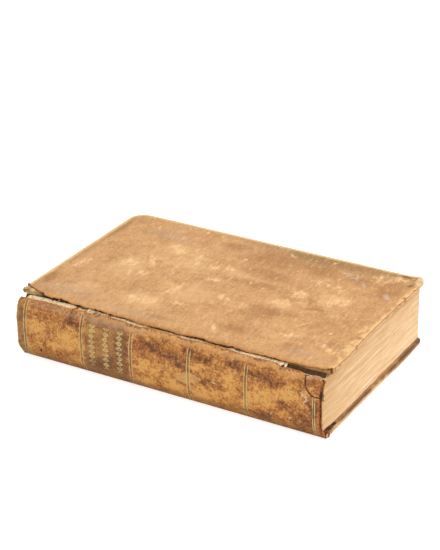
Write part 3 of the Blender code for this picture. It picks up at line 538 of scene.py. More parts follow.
def spine_calf():
    """The same calf on the spine: darker, glossier, and tooled with gold leaf.

    Hands and light have mottled it from orange tan to dark brown, and have
    covered it with fine scratches. The gold is rubbed thin. A stain greys
    the panel that the lozenges fill.
    """
    material, tree, shader, place = new_material("spine_calf")
    clouds = add(tree, "TexNoise", {"Vector": place, "Scale": 1 / 0.014, "Detail": 5.0, "Roughness": 0.62})
    mottle = add(tree, "TexNoise", {"Vector": place, "Scale": 1 / 0.0042, "Detail": 8.0, "Roughness": 0.78})
    grain = add(tree, "TexNoise", {"Vector": place, "Scale": 1 / 0.0015, "Detail": 5.0, "Roughness": 0.75})
    streaks = add(tree, "Mapping", {"Vector": place, "Rotation": (0, 0.25, 0),
                                    "Scale": (1 / 0.012, 1 / 0.0016, 1 / 0.0016)})
    streaks = add(tree, "TexNoise", {"Vector": streaks, "Scale": 1.0, "Detail": 5.0, "Roughness": 0.7,
                                     "Distortion": 0.5})

    tone = add(tree, "Math", {0: mark(tree, "light"), 1: 0.34, 2: clouds}, operation='MULTIPLY_ADD')
    tone = add(tree, "Math", {0: mark(tree, "dark"), 1: -0.42, 2: tone}, operation='MULTIPLY_ADD')
    tone = add(tree, "Math", {0: mottle, 1: 2.20, 2: tone}, operation='MULTIPLY_ADD')
    tone = add(tree, "Math", {0: grain, 1: 2.35, 2: tone}, operation='MULTIPLY_ADD')
    tone = add(tree, "Math", {0: streaks, 1: 0.40, 2: tone}, operation='MULTIPLY_ADD')
    low = add(tree, "MapRange", {"Value": tone, "From Min": 2.45, "From Max": 2.93})
    high = add(tree, "MapRange", {"Value": tone, "From Min": 2.95, "From Max": 3.32})
    base = add(tree, "MixRGB", {"Fac": low, "Color1": colour("#68370F"), "Color2": colour("#BC7431")})
    base = add(tree, "MixRGB", {"Fac": high, "Color1": base, "Color2": colour("#E8AC58")})

    panel = add(tree, "Math", {0: mark(tree, "panel"), 1: mottle}, operation='MULTIPLY')
    rubbed = add(tree, "Math", {0: mark(tree, "rubbed"), 1: mottle}, operation='ADD')
    specks = add(tree, "Math", {0: grain, 1: -1.0, 2: mark(tree, "rubbed")}, operation='MULTIPLY_ADD')
    torn = add(tree, "Math", {0: mark(tree, "torn"), 1: mottle}, operation='ADD')
    peeled = add(tree, "Math", {0: mark(tree, "peeled"), 1: mottle}, operation='ADD')
    # On the spine, bloom_and_sheen is a painted sheen along the upper shoulder.
    bloom_and_sheen = add(tree, "Math", {0: mark(tree, "bloom_and_sheen"), 1: grain}, operation='MULTIPLY')
    chalk = add(tree, "Math", {0: mark(tree, "chalk"), 1: grain}, operation='MULTIPLY')
    olive = add(tree, "Math", {0: mark(tree, "olive"), 1: mottle}, operation='MULTIPLY')
    ashen = add(tree, "Math", {0: mark(tree, "ashen"), 1: 0.65, 2: mottle}, operation='MULTIPLY_ADD')
    blotch = add(tree, "Math", {0: mark(tree, "cap"), 1: 0.5, 2: mottle}, operation='MULTIPLY_ADD')
    base = tinted(tree, base, (
        (olive, 0.15, 0.60, 0.6, "#94733C"), (panel, 0.18, 0.62, 0.60, "#7E5C36"),
        (peeled, 0.92, 1.12, 0.62, "#E2AC66"),
        (rubbed, 0.78, 1.25, 0.66, "#DCA062"), (specks, 0.40, 0.50, 0.80, "#6C4020"),
        (bloom_and_sheen, 0.12, 0.62, 0.50, "#AC8E7C"),
        (torn, 0.90, 1.30, 1.0, "#C67E38"), (ashen, 0.78, 1.25, 0.80, "#C4A98A"),
        # crack: the crack's dark edges, partly painted shade of the gap.
        (mark(tree, "crack"), 0.35, 0.80, 1.0, "#3A1C0A"),
        (mark(tree, "cap"), 0.0, 1.0, 1.0, "#A8560F"), (mark(tree, "rim"), 0.1, 0.8, 0.95, "#E38428"),
        # slit_shade: painted shade inside the split in the cap.
        (blotch, 0.95, 1.15, 0.75, "#4A2208"), (mark(tree, "slit_shade"), 0.2, 0.7, 1.0, "#241006"),
        (chalk, 0.12, 0.45, 0.9, "#E4CCA2"),
        (mark(tree, "nick"), 0.3, 0.8, 0.9, "#2E190A")))

    broken = add(tree, "MapRange", {"Value": clouds, "From Min": 0.48, "From Max": 0.60, "To Max": 0.5})
    hair = scratches(tree, place, 0.011, 2.0, 2.6, (0.010, 0.003), broken)
    base = add(tree, "MixRGB", {"Fac": hair, "Color1": base, "Color2": colour("#D9A46A")})

    # Small open lozenges, stamped in three rows in the panel: 11 mm between
    # the rows and 4 mm from one lozenge to the next.
    laid = add(tree, "SeparateXYZ", {0: add(tree, "Attribute", attribute_name="laid").outputs["Vector"]})
    halves = []
    for axis, pitch, size in ((0, ROW_PITCH, 4.1), (1, LOZENGE_PITCH, 2.1)):
        step = add(tree, "Math", {0: laid.outputs[axis], 1: 1 / pitch}, operation='MULTIPLY')
        step = add(tree, "Math", {0: step}, operation='FRACT')
        step = add(tree, "Math", {0: step, 1: 0.5}, operation='SUBTRACT')
        step = add(tree, "Math", {0: step}, operation='ABSOLUTE')
        halves.append(add(tree, "Math", {0: step, 1: size}, operation='MULTIPLY'))
    lozenge = add(tree, "Math", {0: halves[0], 1: halves[1]}, operation='ADD')
    ring = add(tree, "Math", {0: lozenge, 1: 0.76}, operation='SUBTRACT')
    ring = add(tree, "Math", {0: ring}, operation='ABSOLUTE')
    ring = add(tree, "MapRange", {"Value": ring, "From Min": 0.30, "From Max": 0.20})
    dot = add(tree, "MapRange", {"Value": lozenge, "From Min": 0.3, "From Max": 0.2})
    stamp = add(tree, "Math", {0: ring, 1: dot}, operation='MAXIMUM')
    stamp = add(tree, "Math", {0: stamp, 1: mark(tree, "stamped")}, operation='MULTIPLY')
    gold = add(tree, "Math", {0: mark(tree, "gilt"), 1: stamp}, operation='MAXIMUM')
    left = add(tree, "MapRange", {"Value": mottle, "From Min": 0.38, "From Max": 0.50,
                                  "To Min": 0.2, "To Max": 0.95})
    gold = add(tree, "Math", {0: gold, 1: left}, operation='MULTIPLY')
    pressed = add(tree, "MapRange", {"Value": mark(tree, "pressed"), "To Max": 0.38})
    base = add(tree, "MixRGB", {"Fac": pressed, "Color1": base, "Color2": colour("#6B4722")})
    base = add(tree, "MixRGB", {"Fac": gold, "Color1": base, "Color2": colour("#E4C684")})
    metal = add(tree, "Math", {0: gold, 1: 0.3}, operation='MULTIPLY')
    tree.links.new(metal.outputs[0], shader.inputs["Metallic"])

    gloss = add(tree, "MapRange", {"Value": tone, "From Min": 2.42, "From Max": 3.32,
                                   "To Min": 0.38, "To Max": 0.62})
    relief = add(tree, "Math", {0: grain, 1: 0.4, 2: mottle}, operation='MULTIPLY_ADD')
    set_surface(tree, shader, base, gloss, relief, 0.7, 0.0004)
    return material


def flesh_side(name, pale, deep):
    """The fibrous inner side of calf, which every torn edge shows: matt, orange to dark brown."""
    material, tree, shader, place = new_material(name)
    clumps = add(tree, "TexNoise", {"Vector": place, "Scale": 1 / 0.0022, "Detail": 5.0, "Roughness": 0.7})
    fibres = add(tree, "TexNoise", {"Vector": place, "Scale": 1 / 0.0005, "Detail": 3.0})
    amount = add(tree, "MapRange", {"Value": clumps, "From Min": 0.36, "From Max": 0.62})
    base = add(tree, "MixRGB", {"Fac": amount, "Color1": colour(deep), "Color2": colour(pale)})
    set_surface(tree, shader, base, 0.95, fibres, 0.8, 0.0003)
    return material


def millboard():
    """Board made of pulped rope and paper, rolled hard: grey-brown, with a torn, layered edge."""
    material, tree, shader, place = new_material("millboard")
    layered = add(tree, "Mapping", {"Vector": place, "Scale": (1.0, 1.0, 4.0)})
    layers = add(tree, "TexNoise", {"Vector": layered, "Scale": 1 / 0.0026, "Detail": 6.0, "Roughness": 0.75})
    clouds = add(tree, "TexNoise", {"Vector": place, "Scale": 1 / 0.012, "Detail": 3.0})
    uneven = add(tree, "MapRange", {"Value": layers, "From Min": 0.38, "From Max": 0.62})
    base = add(tree, "MixRGB", {"Fac": uneven, "Color1": colour("#765026"), "Color2": colour("#D6A768")})
    base = tinted(tree, base, ((clouds, 0.4, 0.7, 0.5, "#BC9058"),))
    base = add(tree, "MixRGB", {"Fac": mark(tree, "pulp"), "Color1": base, "Color2": colour("#EDCB96")})
    # split_shade_and_seams: painted shade where the board's edge lies under the cover's lip, and dark seams
    # between its layers.
    base = add(tree, "MixRGB", {"Fac": mark(tree, "split_shade_and_seams"), "Color1": base, "Color2": colour("#2E1A0B")})
    set_surface(tree, shader, base, 0.9, layers, 0.9, 0.0004)
    return material


def leaf_edges():
    """The trimmed edges of rag paper, aged to cream.

    Each leaf is about 0.1 mm thick. Lines of that size would not show, so
    they are drawn at 0.4 mm, with wider bands for the gatherings.
    """
    material, tree, shader, place = new_material("leaf_edges")
    laid = add(tree, "Attribute", attribute_name="laid").outputs["Vector"]
    sway = add(tree, "TexNoise", {"Vector": laid, "Scale": 1 / 0.05, "Detail": 2.0})
    sway = add(tree, "Math", {0: sway, 1: 0.005}, operation='MULTIPLY')
    sway = add(tree, "CombineXYZ", {1: sway})
    laid = add(tree, "VectorMath", {0: laid, 1: sway}, operation='ADD').outputs[0]
    fine = add(tree, "Mapping", {"Vector": laid, "Scale": (1 / 0.022, 1 / 0.0005, 1.0)})
    fine = add(tree, "TexNoise", {"Vector": fine, "Scale": 1.0, "Detail": 4.0, "Roughness": 0.65})
    broad = add(tree, "Mapping", {"Vector": laid, "Scale": (1 / 0.045, 1 / 0.0026, 1.0)})
    broad = add(tree, "TexNoise", {"Vector": broad, "Scale": 1.0, "Detail": 4.0, "Roughness": 0.65})
    smudge = add(tree, "TexNoise", {"Vector": place, "Scale": 1 / 0.022, "Detail": 5.0})
    speck = add(tree, "TexNoise", {"Vector": place, "Scale": 1 / 0.0026, "Detail": 3.0})

    # Painted shade: the leaf edges darken towards the top, under the cover's overhang, and towards the spine.
    base = add(tree, "MixRGB", {"Fac": mark(tree, "shade_gradient"), "Color1": colour("#F6D0A0"),
                                "Color2": colour("#DBAA71")})
    base = tinted(tree, base, (
        (broad, 0.46, 0.66, 0.60, "#FCDFB6"), (broad, 0.48, 0.30, 0.60, "#CF9D66"),
        (fine, 0.48, 0.30, 0.70, "#C68F57"), (fine, 0.54, 0.70, 0.55, "#FEE6C2"),
        # edge_shade: painted shade along the bottom and top of the leaves and towards the spine.
        (smudge, 0.50, 0.74, 0.40, "#D5A46C"), (mark(tree, "edge_shade"), 0.0, 1.0, 1.0, "#C9955C"),
        (speck, 0.68, 0.73, 0.65, "#A9703C"), (speck, 0.34, 0.26, 0.35, "#C28C54"),
        (mark(tree, "shadowed"), 0.0, 1.0, 0.9, "#5E3718")))
    set_surface(tree, shader, base, 0.85, fine, 0.7, 0.00025)
    return material


def torn_paper():
    """The lining's torn edge: pulpy cream paper, with scraps of the calf still stuck to it."""
    material, tree, shader, place = new_material("torn_lining_paper")
    pulp = add(tree, "TexNoise", {"Vector": place, "Scale": 1 / 0.0030, "Detail": 6.0, "Roughness": 0.7})
    scraps = add(tree, "TexNoise", {"Vector": place, "Scale": 1 / 0.0024, "Detail": 5.0, "Roughness": 0.75,
                                    "Distortion": 0.6})
    pulpy = add(tree, "MapRange", {"Value": pulp, "From Min": 0.36, "From Max": 0.56})
    base = add(tree, "MixRGB", {"Fac": pulpy, "Color1": colour("#D4AC76"), "Color2": colour("#FCE4BE")})
    stuck = add(tree, "Math", {0: mark(tree, "leathered"), 1: scraps}, operation='ADD')
    deep = add(tree, "MapRange", {"Value": pulp, "From Min": 0.60, "From Max": 0.42})
    calf = add(tree, "MixRGB", {"Fac": deep, "Color1": colour("#C47F3E"), "Color2": colour("#5A3216")})
    stuck = add(tree, "MapRange", {"Value": stuck, "From Min": 0.94, "From Max": 1.02})
    base = add(tree, "MixRGB", {"Fac": stuck, "Color1": base, "Color2": calf})
    # hollow_shade: painted shade, a near-black patch where the split is hollow.
    base = add(tree, "MixRGB", {"Fac": mark(tree, "hollow_shade"), "Color1": base, "Color2": colour("#170B04")})
    set_surface(tree, shader, base, 0.92, pulp, 0.9, 0.0004)
    return material


def paper_sheet(name, pale, brown, stain_size):
    """Handmade paper: a cream sheet with brown, cloudy stains and a faint tooth."""
    material, tree, shader, place = new_material(name)
    stain = add(tree, "TexNoise", {"Vector": place, "Scale": 1 / stain_size, "Detail": 6.0,
                                   "Roughness": 0.65})
    tooth = add(tree, "TexNoise", {"Vector": place, "Scale": 1 / 0.0008, "Detail": 3.0})
    amount = add(tree, "MapRange", {"Value": stain, "From Min": 0.45, "From Max": 0.75, "To Max": 0.8})
    base = add(tree, "MixRGB", {"Fac": amount, "Color1": colour(pale), "Color2": colour(brown)})
    set_surface(tree, shader, base, 0.88, tooth, 0.5, 0.00015)
    return material


def hemp_cord():
    """Hemp cord, laid from two strands: dull straw brown with a slanting twist."""
    material, tree, shader, place = new_material("hemp_cord")
    twist = add(tree, "TexWave", {"Vector": place, "Scale": 1 / 0.0045, "Distortion": 1.5},
                bands_direction='DIAGONAL')
    base = add(tree, "MixRGB", {"Fac": twist.outputs["Fac"], "Color1": colour("#8A6B42"),
                                "Color2": colour("#B99A69")})
    set_surface(tree, shader, base, 0.9, twist.outputs["Fac"], 0.7, 0.0003)
    return material


COVER_CALF = cover_calf()
SPINE_CALF = spine_calf()
COVER_FLESH = flesh_side("cover_flesh_side", "#D8903F", "#6A3C1C")
SPINE_FLESH = flesh_side("spine_flesh_side", "#CC8540", "#5A2E14")
CURLED_FLESH = flesh_side("curled_flesh_side", "#7A3E1C", "#2E120A")
BOARD = millboard()
LEAF_EDGES = leaf_edges()
ENDPAPER = paper_sheet("endpaper", "#E9CFA2", "#C79B62", 0.030)
FLYLEAF = paper_sheet("flyleaf", "#EFD9B0", "#CFA56B", 0.040)
# Dark brown paper: the spine's lining, and the painted shade in the front split.
LINING_AND_SHADE_PAPER = paper_sheet("lining_paper", "#6E4A28", "#321B0C", 0.003)
TORN_PAPER = torn_paper()
HEMP = hemp_cord()


# ------------------------------------------------------ the spine's form
def cock(x):
    return COCK_AT_HEAD + (COCK_AT_TAIL - COCK_AT_HEAD) * along(x)


def squareness(swing):
    """The power of the back's curve: the lower half is squarer."""
    return np.where(swing > 0, BACK_FULLNESS, FULLNESS_BELOW)


def back_line(x, turn):
    """(y from the joint, z) on the back of the leaves; turn goes from 0 to pi, upwards."""
    swing = -np.cos(turn)
    power = 2 / squareness(swing)
    side = np.sign(swing) * np.abs(swing) ** power
    out = SHOULDER_SET + BACK_ROUND * np.abs(np.sin(turn)) ** power + cock(x) * side / 2
    return np.stack([-out, LEAVES_MIDDLE + side * (LEAVES_THICKNESS / 2 - PINCH)], axis=-1)


def outside(line, distance):
    """A line moved outwards, to the left of its direction."""
    slope = np.gradient(line, axis=0)
    slope /= np.linalg.norm(slope, axis=1)[:, None]
    return line + np.stack([-slope[:, 1], slope[:, 0]], axis=-1) * np.reshape(distance, (-1, 1))


def spine_line(x):
    """The outer line of the spine's skin at x, from the back joint upwards."""
    turn = np.linspace(0.16 * math.pi, math.pi, 260)
    curled = np.clip((turn / math.pi - 0.70) / 0.30, 0, None)
    curl = curve_at(SPINE_LIP_CURL, along(x))
    upper = outside(back_line(x, turn), SKIN_DISTANCE + curl * curled ** 2)
    joint = np.array([-SPLIT_CLEARANCE, JOINT_RISE])
    low, way = upper[0], upper[1] - upper[0]
    way = way / np.linalg.norm(way)
    pull = 0.45 * np.linalg.norm(low - joint)
    s = np.linspace(0, 1, 40)[:-1, None]
    bend = (joint * (1 - s) ** 3 + (joint - [pull, 0]) * 3 * s * (1 - s) ** 2
            + (low - way * pull) * 3 * s * s * (1 - s) + low * s ** 3)
    end = LIP_SET - LIP_RADIUS - SPLIT_OPENING
    last = [end, upper[-1, 1] + (end - upper[-1, 0]) * curl / SHOULDER_SET / 2]
    return np.concatenate([bend, upper, [last]])


STATIONS = np.linspace(HEAD, TAIL, 97)
SHARES = np.linspace(0, 1, 401)


def spine_table():
    """The skin's outer line at each station: its lengths, and points and normals at even shares."""
    lengths, places, ways = [], [], []
    for x in STATIONS:
        line = spine_line(x)
        reach = np.concatenate([[0], np.cumsum(np.linalg.norm(np.diff(line, axis=0), axis=1))])
        at = SHARES * reach[-1]
        even = np.stack([np.interp(at, reach, line[:, i]) for i in (0, 1)], axis=-1)
        slope = np.gradient(even, axis=0)
        slope /= np.linalg.norm(slope, axis=1)[:, None]
        lengths.append(reach[-1])
        places.append(even)
        ways.append(np.stack([-slope[:, 1], slope[:, 0]], axis=-1))
    return np.array(lengths), np.array(places), np.array(ways)


SKIN_LENGTHS, SKIN_PLACES, SKIN_NORMALS = spine_table()


def skin_length(x):
    return np.interp(x, STATIONS, SKIN_LENGTHS)


def on_spine(x, way, height=0.0):
    """Points on the spine's skin: way is from the back joint, and height is off its face."""
    column = unit(along(x)) * (len(STATIONS) - 1)
    row = unit(way / skin_length(x)) * (len(SHARES) - 1)
    i, j = (np.minimum(np.floor(v).astype(int), limit - 2)
            for v, limit in ((column, len(STATIONS)), (row, len(SHARES))))
    u, v = (column - i)[..., None], (row - j)[..., None]

    def between(table):
        return ((table[i, j] * (1 - v) + table[i, j + 1] * v) * (1 - u)
                + (table[i + 1, j] * (1 - v) + table[i + 1, j + 1] * v) * u)
    place, normal = between(SKIN_PLACES), between(SKIN_NORMALS)
    place = place + normal * np.broadcast_to(height, x.shape)[..., None]
    return np.stack([x, JOINT + place[..., 0], place[..., 1]], axis=-1)


def crack_line():
    """The crack round the scrap as points of (x, way), with a broken wander."""
    share = np.linspace(0, 1, 60)
    stations, shares = np.array(CRACK).T
    x = HEAD + stations * BOARD_LENGTH
    corners = np.stack([x, shares * skin_length(x)], axis=-1)
    reach = np.concatenate([[0], np.cumsum(np.linalg.norm(np.diff(corners, axis=0), axis=1))])
    line = np.stack([np.interp(share * reach[-1], reach, corners[:, i]) for i in (0, 1)], axis=-1)
    line += 0.0003 * np.stack([crumple(0.004, line[:, 1], 1.0), crumple(0.004, line[:, 0], 2.0)], axis=-1)
    return line


def side_of(points, line):
    """The signed distance of each point from a line, and the way across it. Over 0 is to its left."""
    best = np.full(len(points), 1e9)
    across = np.zeros((len(points), 2))
    signed = np.zeros(len(points))
    for a, b in zip(line, line[1:]):
        way = b - a
        share = unit(((points - a) @ way) / (way @ way))
        off = points - (a + share[:, None] * way)
        distance = np.linalg.norm(off, axis=1)
        nearer = distance < best
        left = np.array([-way[1], way[0]]) / np.linalg.norm(way)
        sign = np.where(off @ left >= 0, 1.0, -1.0)
        best = np.where(nearer, distance, best)
        signed = np.where(nearer, sign * distance, signed)
        across[nearer] = left
    return signed, across


# ------------------------------------------------------ spine and scrap
def spine_columns():
    """Places along the spine, each with its share of gold: even, but finer at rules and ends."""
    pitches = [TOOL_PITCH] * (len(RULE_STATIONS) - 1) + [LAST_PITCH]
    lines = [HEAD + share * BOARD_LENGTH + side * pitch / 2 for share, pitch in zip(RULE_STATIONS, pitches)
             for side in (-1, 1)]
    places = [(line + off, gold) for line in lines
              for off, gold in ((-0.00046, 0), (-0.00020, 1), (0.00020, 1), (0.00046, 0))]
    first, last = HEAD + HEAD_WEAR, TAIL - TAIL_WEAR
    places += [(first + off, 0) for off in (0, 0.00015, 0.0003, 0.0005, 0.0008)]
    places += [(last - off, 0) for off in (0, 0.00015, 0.0003, 0.0005, 0.0008, 0.0011, 0.0014, 0.0017,
                                          0.0020, 0.0023, 0.0026, 0.0029, 0.0032)]
    taken = np.array([place for place, gold in places])
    for x in np.arange(first + 0.0011, last - 0.001, 0.0006):
        if np.abs(taken - x).min() > 0.00028:
            places.append((x, 0))
    return np.array(sorted(places))


def slit_depth(from_tail, way):
    """How open the split in the turned-over cap at the tail is: 0 to 1."""
    height = way / SKIN_LENGTHS[-1]
    middle = 0.0019 + 0.0004 * crumple(0.009, way, 21.0) + 0.0003 * crumple(0.003, way, 22.0)
    half = np.interp(height, (0.16, 0.24, 0.40, 0.62, 0.70, 0.78),
                     (0.0, 0.0005, 0.0004, 0.0006, 0.0010, 0.0008))
    half = half * np.clip(0.9 + 0.7 * crumple(0.005, way, 23.0), 0.35, 1.6)
    return unit(1.4 - np.abs(from_tail - middle) / np.maximum(half, 1e-5)) * (half > 0.0001)


def spine_marks(x, z, high, way, crack):
    """Everything that has happened to the skin of the spine, and the sheen and shade painted on it, as numbers
    from 0 to 1.
    """
    from_head, from_tail = x - HEAD, TAIL - x
    from_tear = high - way
    wobble = 0.004 * crumple(0.006, x, z, 0.3)
    panel = unit((from_head - PANEL_START) / 0.001) * unit((PANEL_END - from_head) / 0.001)
    # A painted sheen: a grey band along the upper shoulder, where the glossy skin would reflect the white
    # room.
    painted_sheen = np.exp(-((z - 0.0450 + wobble / 3) / 0.0026) ** 2)
    painted_sheen *= np.interp(from_head, (0.004, 0.012, 0.09, 0.115, 0.150, 0.175, 0.2),
                        (0, 0.9, 0.9, 0.25, 0.2, 0.5, 0))
    rubbed = unit(1.15 - from_tear / 0.0066 + 60 * wobble) ** 0.5
    rubbed = rubbed * np.interp(from_head, (0.055, 0.065, 0.222, 0.228), (0.1, 1, 1, 0.2))
    pressed = np.zeros_like(x)
    for share in RULE_STATIONS:
        pressed = np.maximum(pressed, unit(1.6 - np.abs(from_head - share * BOARD_LENGTH) / 0.0011))
    fades = unit((from_tear - curve_at(GOLD_STARTS, along(x))) / 0.0008)
    ends = np.minimum(from_head - HEAD_WEAR, from_tail - TAIL_WEAR)
    cap = unit((0.0034 - from_tail + 0.0004 * crumple(0.004, way, 9.0)) / 0.0006)
    light = patches(from_head + wobble, z + wobble, SPINE_LIGHT)
    light = np.maximum(light, 1.6 * unit(1 - (from_head - HEAD_WEAR) / 0.0014))
    ashes = unit(1.3 - (from_tear + wobble / 2) / 0.0036) * unit((from_head - 0.2265) / 0.001)
    return {
        "light": light,
        "dark": patches(from_head + wobble, z - wobble, SPINE_DARK),
        "peeled": patches(from_head + wobble / 2, z + wobble / 2, SPINE_PEELED),
        "panel": panel,
        "stamped": panel * unit((z - STAMPED_LOW) / 0.001) * unit((STAMPED_HIGH - z) / 0.001),
        "rubbed": rubbed,
        "bloom_and_sheen": painted_sheen,
        "olive": unit(1 - z / 0.016) + 1.3 * unit(1 - from_head / 0.009) ** 0.5,
        "torn": np.maximum(unit(1 - from_tear / 0.0010) * (ashes < 0.1),
                           unit(1 - ends / 0.0010) * np.where(from_head < 0.02, 0.4, 1.0)),
        "ashen": ashes,
        # Dark torn edges along the crack round the scrap, widened with painted shade of the gap.
        "crack": unit(1 - np.abs(crack) / 0.0008),
        "cap": cap,
        "rim": unit(1.3 - (from_tail - TAIL_WEAR) / 0.0010) * unit((0.037 - z) / 0.002),
        # Painted shade: near-black inside the split in the tail's cap.
        "slit_shade": slit_depth(from_tail, way),
        "chalk": patches(from_head, z, SPINE_CHALK),
        "nick": patches(from_head, z, SPINE_NICK),
        "pressed": pressed * fades,
        "gilded": fades * (cap < 0.3),
        "laid": np.stack([from_head - ROWS_START, way, np.zeros_like(way)], axis=-1),
    }


def spine_skins():
    """The spine's skin and the scrap that a crack has freed from it, cut from one sheet."""
    columns = spine_columns()
    rows = np.concatenate([np.linspace(0, 0.93, 68), np.linspace(0.93, 1, 17)[1:]])
    x = np.repeat(columns[:, 0][None, :], len(rows), axis=0).ravel()
    gold = np.repeat(columns[:, 1][None, :], len(rows), axis=0).ravel()
    share = np.repeat(rows, len(columns))
    high = skin_length(x) - curve_at(SPINE_LIP_LOSS, along(x)) + curve_at(LIP_REMAINS, along(x))
    high += 0.0005 * crumple(0.006, x, 5.0) + 0.0002 * wander(0.0011, x, 6.0)
    way = 0.0015 + (high - 0.0015) * share
    # The worn ends: the skin is gone further towards the shoulder at the head.
    near_head = unit(1 - (x - HEAD - HEAD_WEAR) / 0.006)
    near_tail = unit(1 - (TAIL - TAIL_WEAR - x) / 0.004)
    lost = 0.0005 + 0.0005 * crumple(0.004, way, 7.0)
    x = x + near_head * (lost - 0.0010 + 0.0022 * unit((share - 0.95) / 0.05))
    x = x - near_tail * (0.0002 + 0.0009 * unit(crumple(0.004, way, 8.0) + 0.1))

    faces = grid_faces(len(rows), len(columns))
    spots = np.stack([x, way], axis=-1)
    middle = spots[faces].mean(axis=1)
    line = crack_line()
    side, across = side_of(spots, line)
    in_scrap = side_of(middle, line)[0] > 0
    made = []
    for called, keep, towards in (("spine_skin", ~in_scrap, -1), ("spine_scrap", in_scrap, 1)):
        kept = faces[keep]
        shared = np.intersect1d(kept, faces[~keep])
        at_x, at_way = x.copy(), way.copy()
        step = (towards * 0.00027 - side[shared])[:, None] * across[shared]
        at_x[shared] += step[:, 0]
        at_way[shared] += step[:, 1]
        used, kept = np.unique(kept, return_inverse=True)
        kept = kept.reshape(-1, 4)
        at_x, at_way = at_x[used], at_way[used]
        ends = np.minimum(at_x - HEAD - HEAD_WEAR, TAIL - TAIL_WEAR - at_x)
        radius = 0.0007
        rolled = radius - np.sqrt(np.clip(radius ** 2 - np.clip(radius - ends, 0, radius) ** 2, 0, None))
        sag = (0.00022 * (wander(0.018, at_x, at_way, 2.0) - 1)
               + 0.00007 * (crumple(0.0035, at_x, at_way, 3.0) - 1))
        dent = TOOL_DEPTH * gold[used]
        dent += 0.0005 * patches(at_x - HEAD, on_spine(at_x, at_way)[:, 2], SPINE_NICK)
        dent += 0.0006 * slit_depth(TAIL - at_x, at_way)
        points = on_spine(at_x, at_way, sag - dent - rolled)
        points[:, 1] = np.maximum(points[:, 1], SPINE_REACH + 0.00002)
        marks = spine_marks(at_x, points[:, 2], high[used], at_way,
                            np.where(np.isin(used, shared), 0, side[used]))
        marks["gilt"] = gold[used] * (marks["crack"] < 0.5) * marks.pop("gilded") * (towards < 0)
        marks["pressed"] = marks["pressed"] * (towards < 0)
        thick = np.where(ends < 0.002, CAP_LEATHER - radius, LEATHER)
        points, kept, cut, source = with_cut_edge(points, kept, thick)
        marks = {name: values[source] for name, values in marks.items()}
        made.append(piece(called, points, kept, (SPINE_CALF, SPINE_FLESH), marks, cut))
    skin, scrap = made
    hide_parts("spine_leather")
    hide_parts("spine_leather_scrap")
    for item in (skin, scrap):
        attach(item, "book_block")


# -------------------------------------------------------------- covers
def turned(side, depth):
    """The height that lies this deep in the front or the back cover."""
    return TOP - depth if side == "front" else depth


def edge_path(side, inset, starts, side_shares, fore_count):
    """A cover's outline from the joint at the head round to the joint at the tail."""
    head_radius, tail_radius = (max(radius - inset, 0.0005) for radius in CORNERS[side])
    left, right, fore = HEAD + inset, TAIL - inset, FORE_EDGE - inset
    head_y = JOINT + starts[0] + (fore - head_radius - JOINT - starts[0]) * side_shares
    tail_y = JOINT + starts[1] + (fore - tail_radius - JOINT - starts[1]) * side_shares
    head_turn = np.linspace(math.pi, math.pi / 2, 20)[1:]
    tail_turn = np.linspace(math.pi / 2, 0, 12)[:-1]
    fore_x = np.linspace(left + head_radius, right - tail_radius, fore_count)[1:-1]
    return np.concatenate([
        np.stack([np.full_like(head_y, left), head_y], axis=-1),
        np.stack([left + head_radius * (1 + np.cos(head_turn)),
                  fore - head_radius * (1 - np.sin(head_turn))], axis=-1),
        np.stack([fore_x, np.full_like(fore_x, fore)], axis=-1),
        np.stack([right - tail_radius * (1 - np.cos(tail_turn)),
                  fore - tail_radius * (1 - np.sin(tail_turn))], axis=-1),
        np.stack([np.full_like(tail_y, right), tail_y], axis=-1)[::-1],
    ])


def rolled_point(way, depth):
    """The front skin: way is from where it starts to roll over the joint, and under 0 on the roll."""
    radius = LIP_RADIUS - depth
    turn = np.clip(-way / LIP_RADIUS, 0, math.pi / 2)
    down = np.clip(-way - LIP_RADIUS * math.pi / 2, 0, None)
    y = LIP_SET + np.maximum(way, 0) - radius * np.sin(turn)
    return y, depth + radius * (1 - np.cos(turn)) + down


def tear_way(x):
    """Where the front skin's torn edge is, along its section."""
    drop = curve_at(LIP_DROP, along(x)) + 0.0006 * crumple(0.008, x, 3.0) + 0.00035 * wander(0.0015, x, 4.0)
    rolled = np.where(drop < LIP_RADIUS, LIP_RADIUS * np.arccos(np.clip(1 - drop / LIP_RADIUS, -1, 1)),
                      LIP_RADIUS * math.pi / 2 + drop - LIP_RADIUS)
    return np.where(drop > 0, -rolled, -drop)


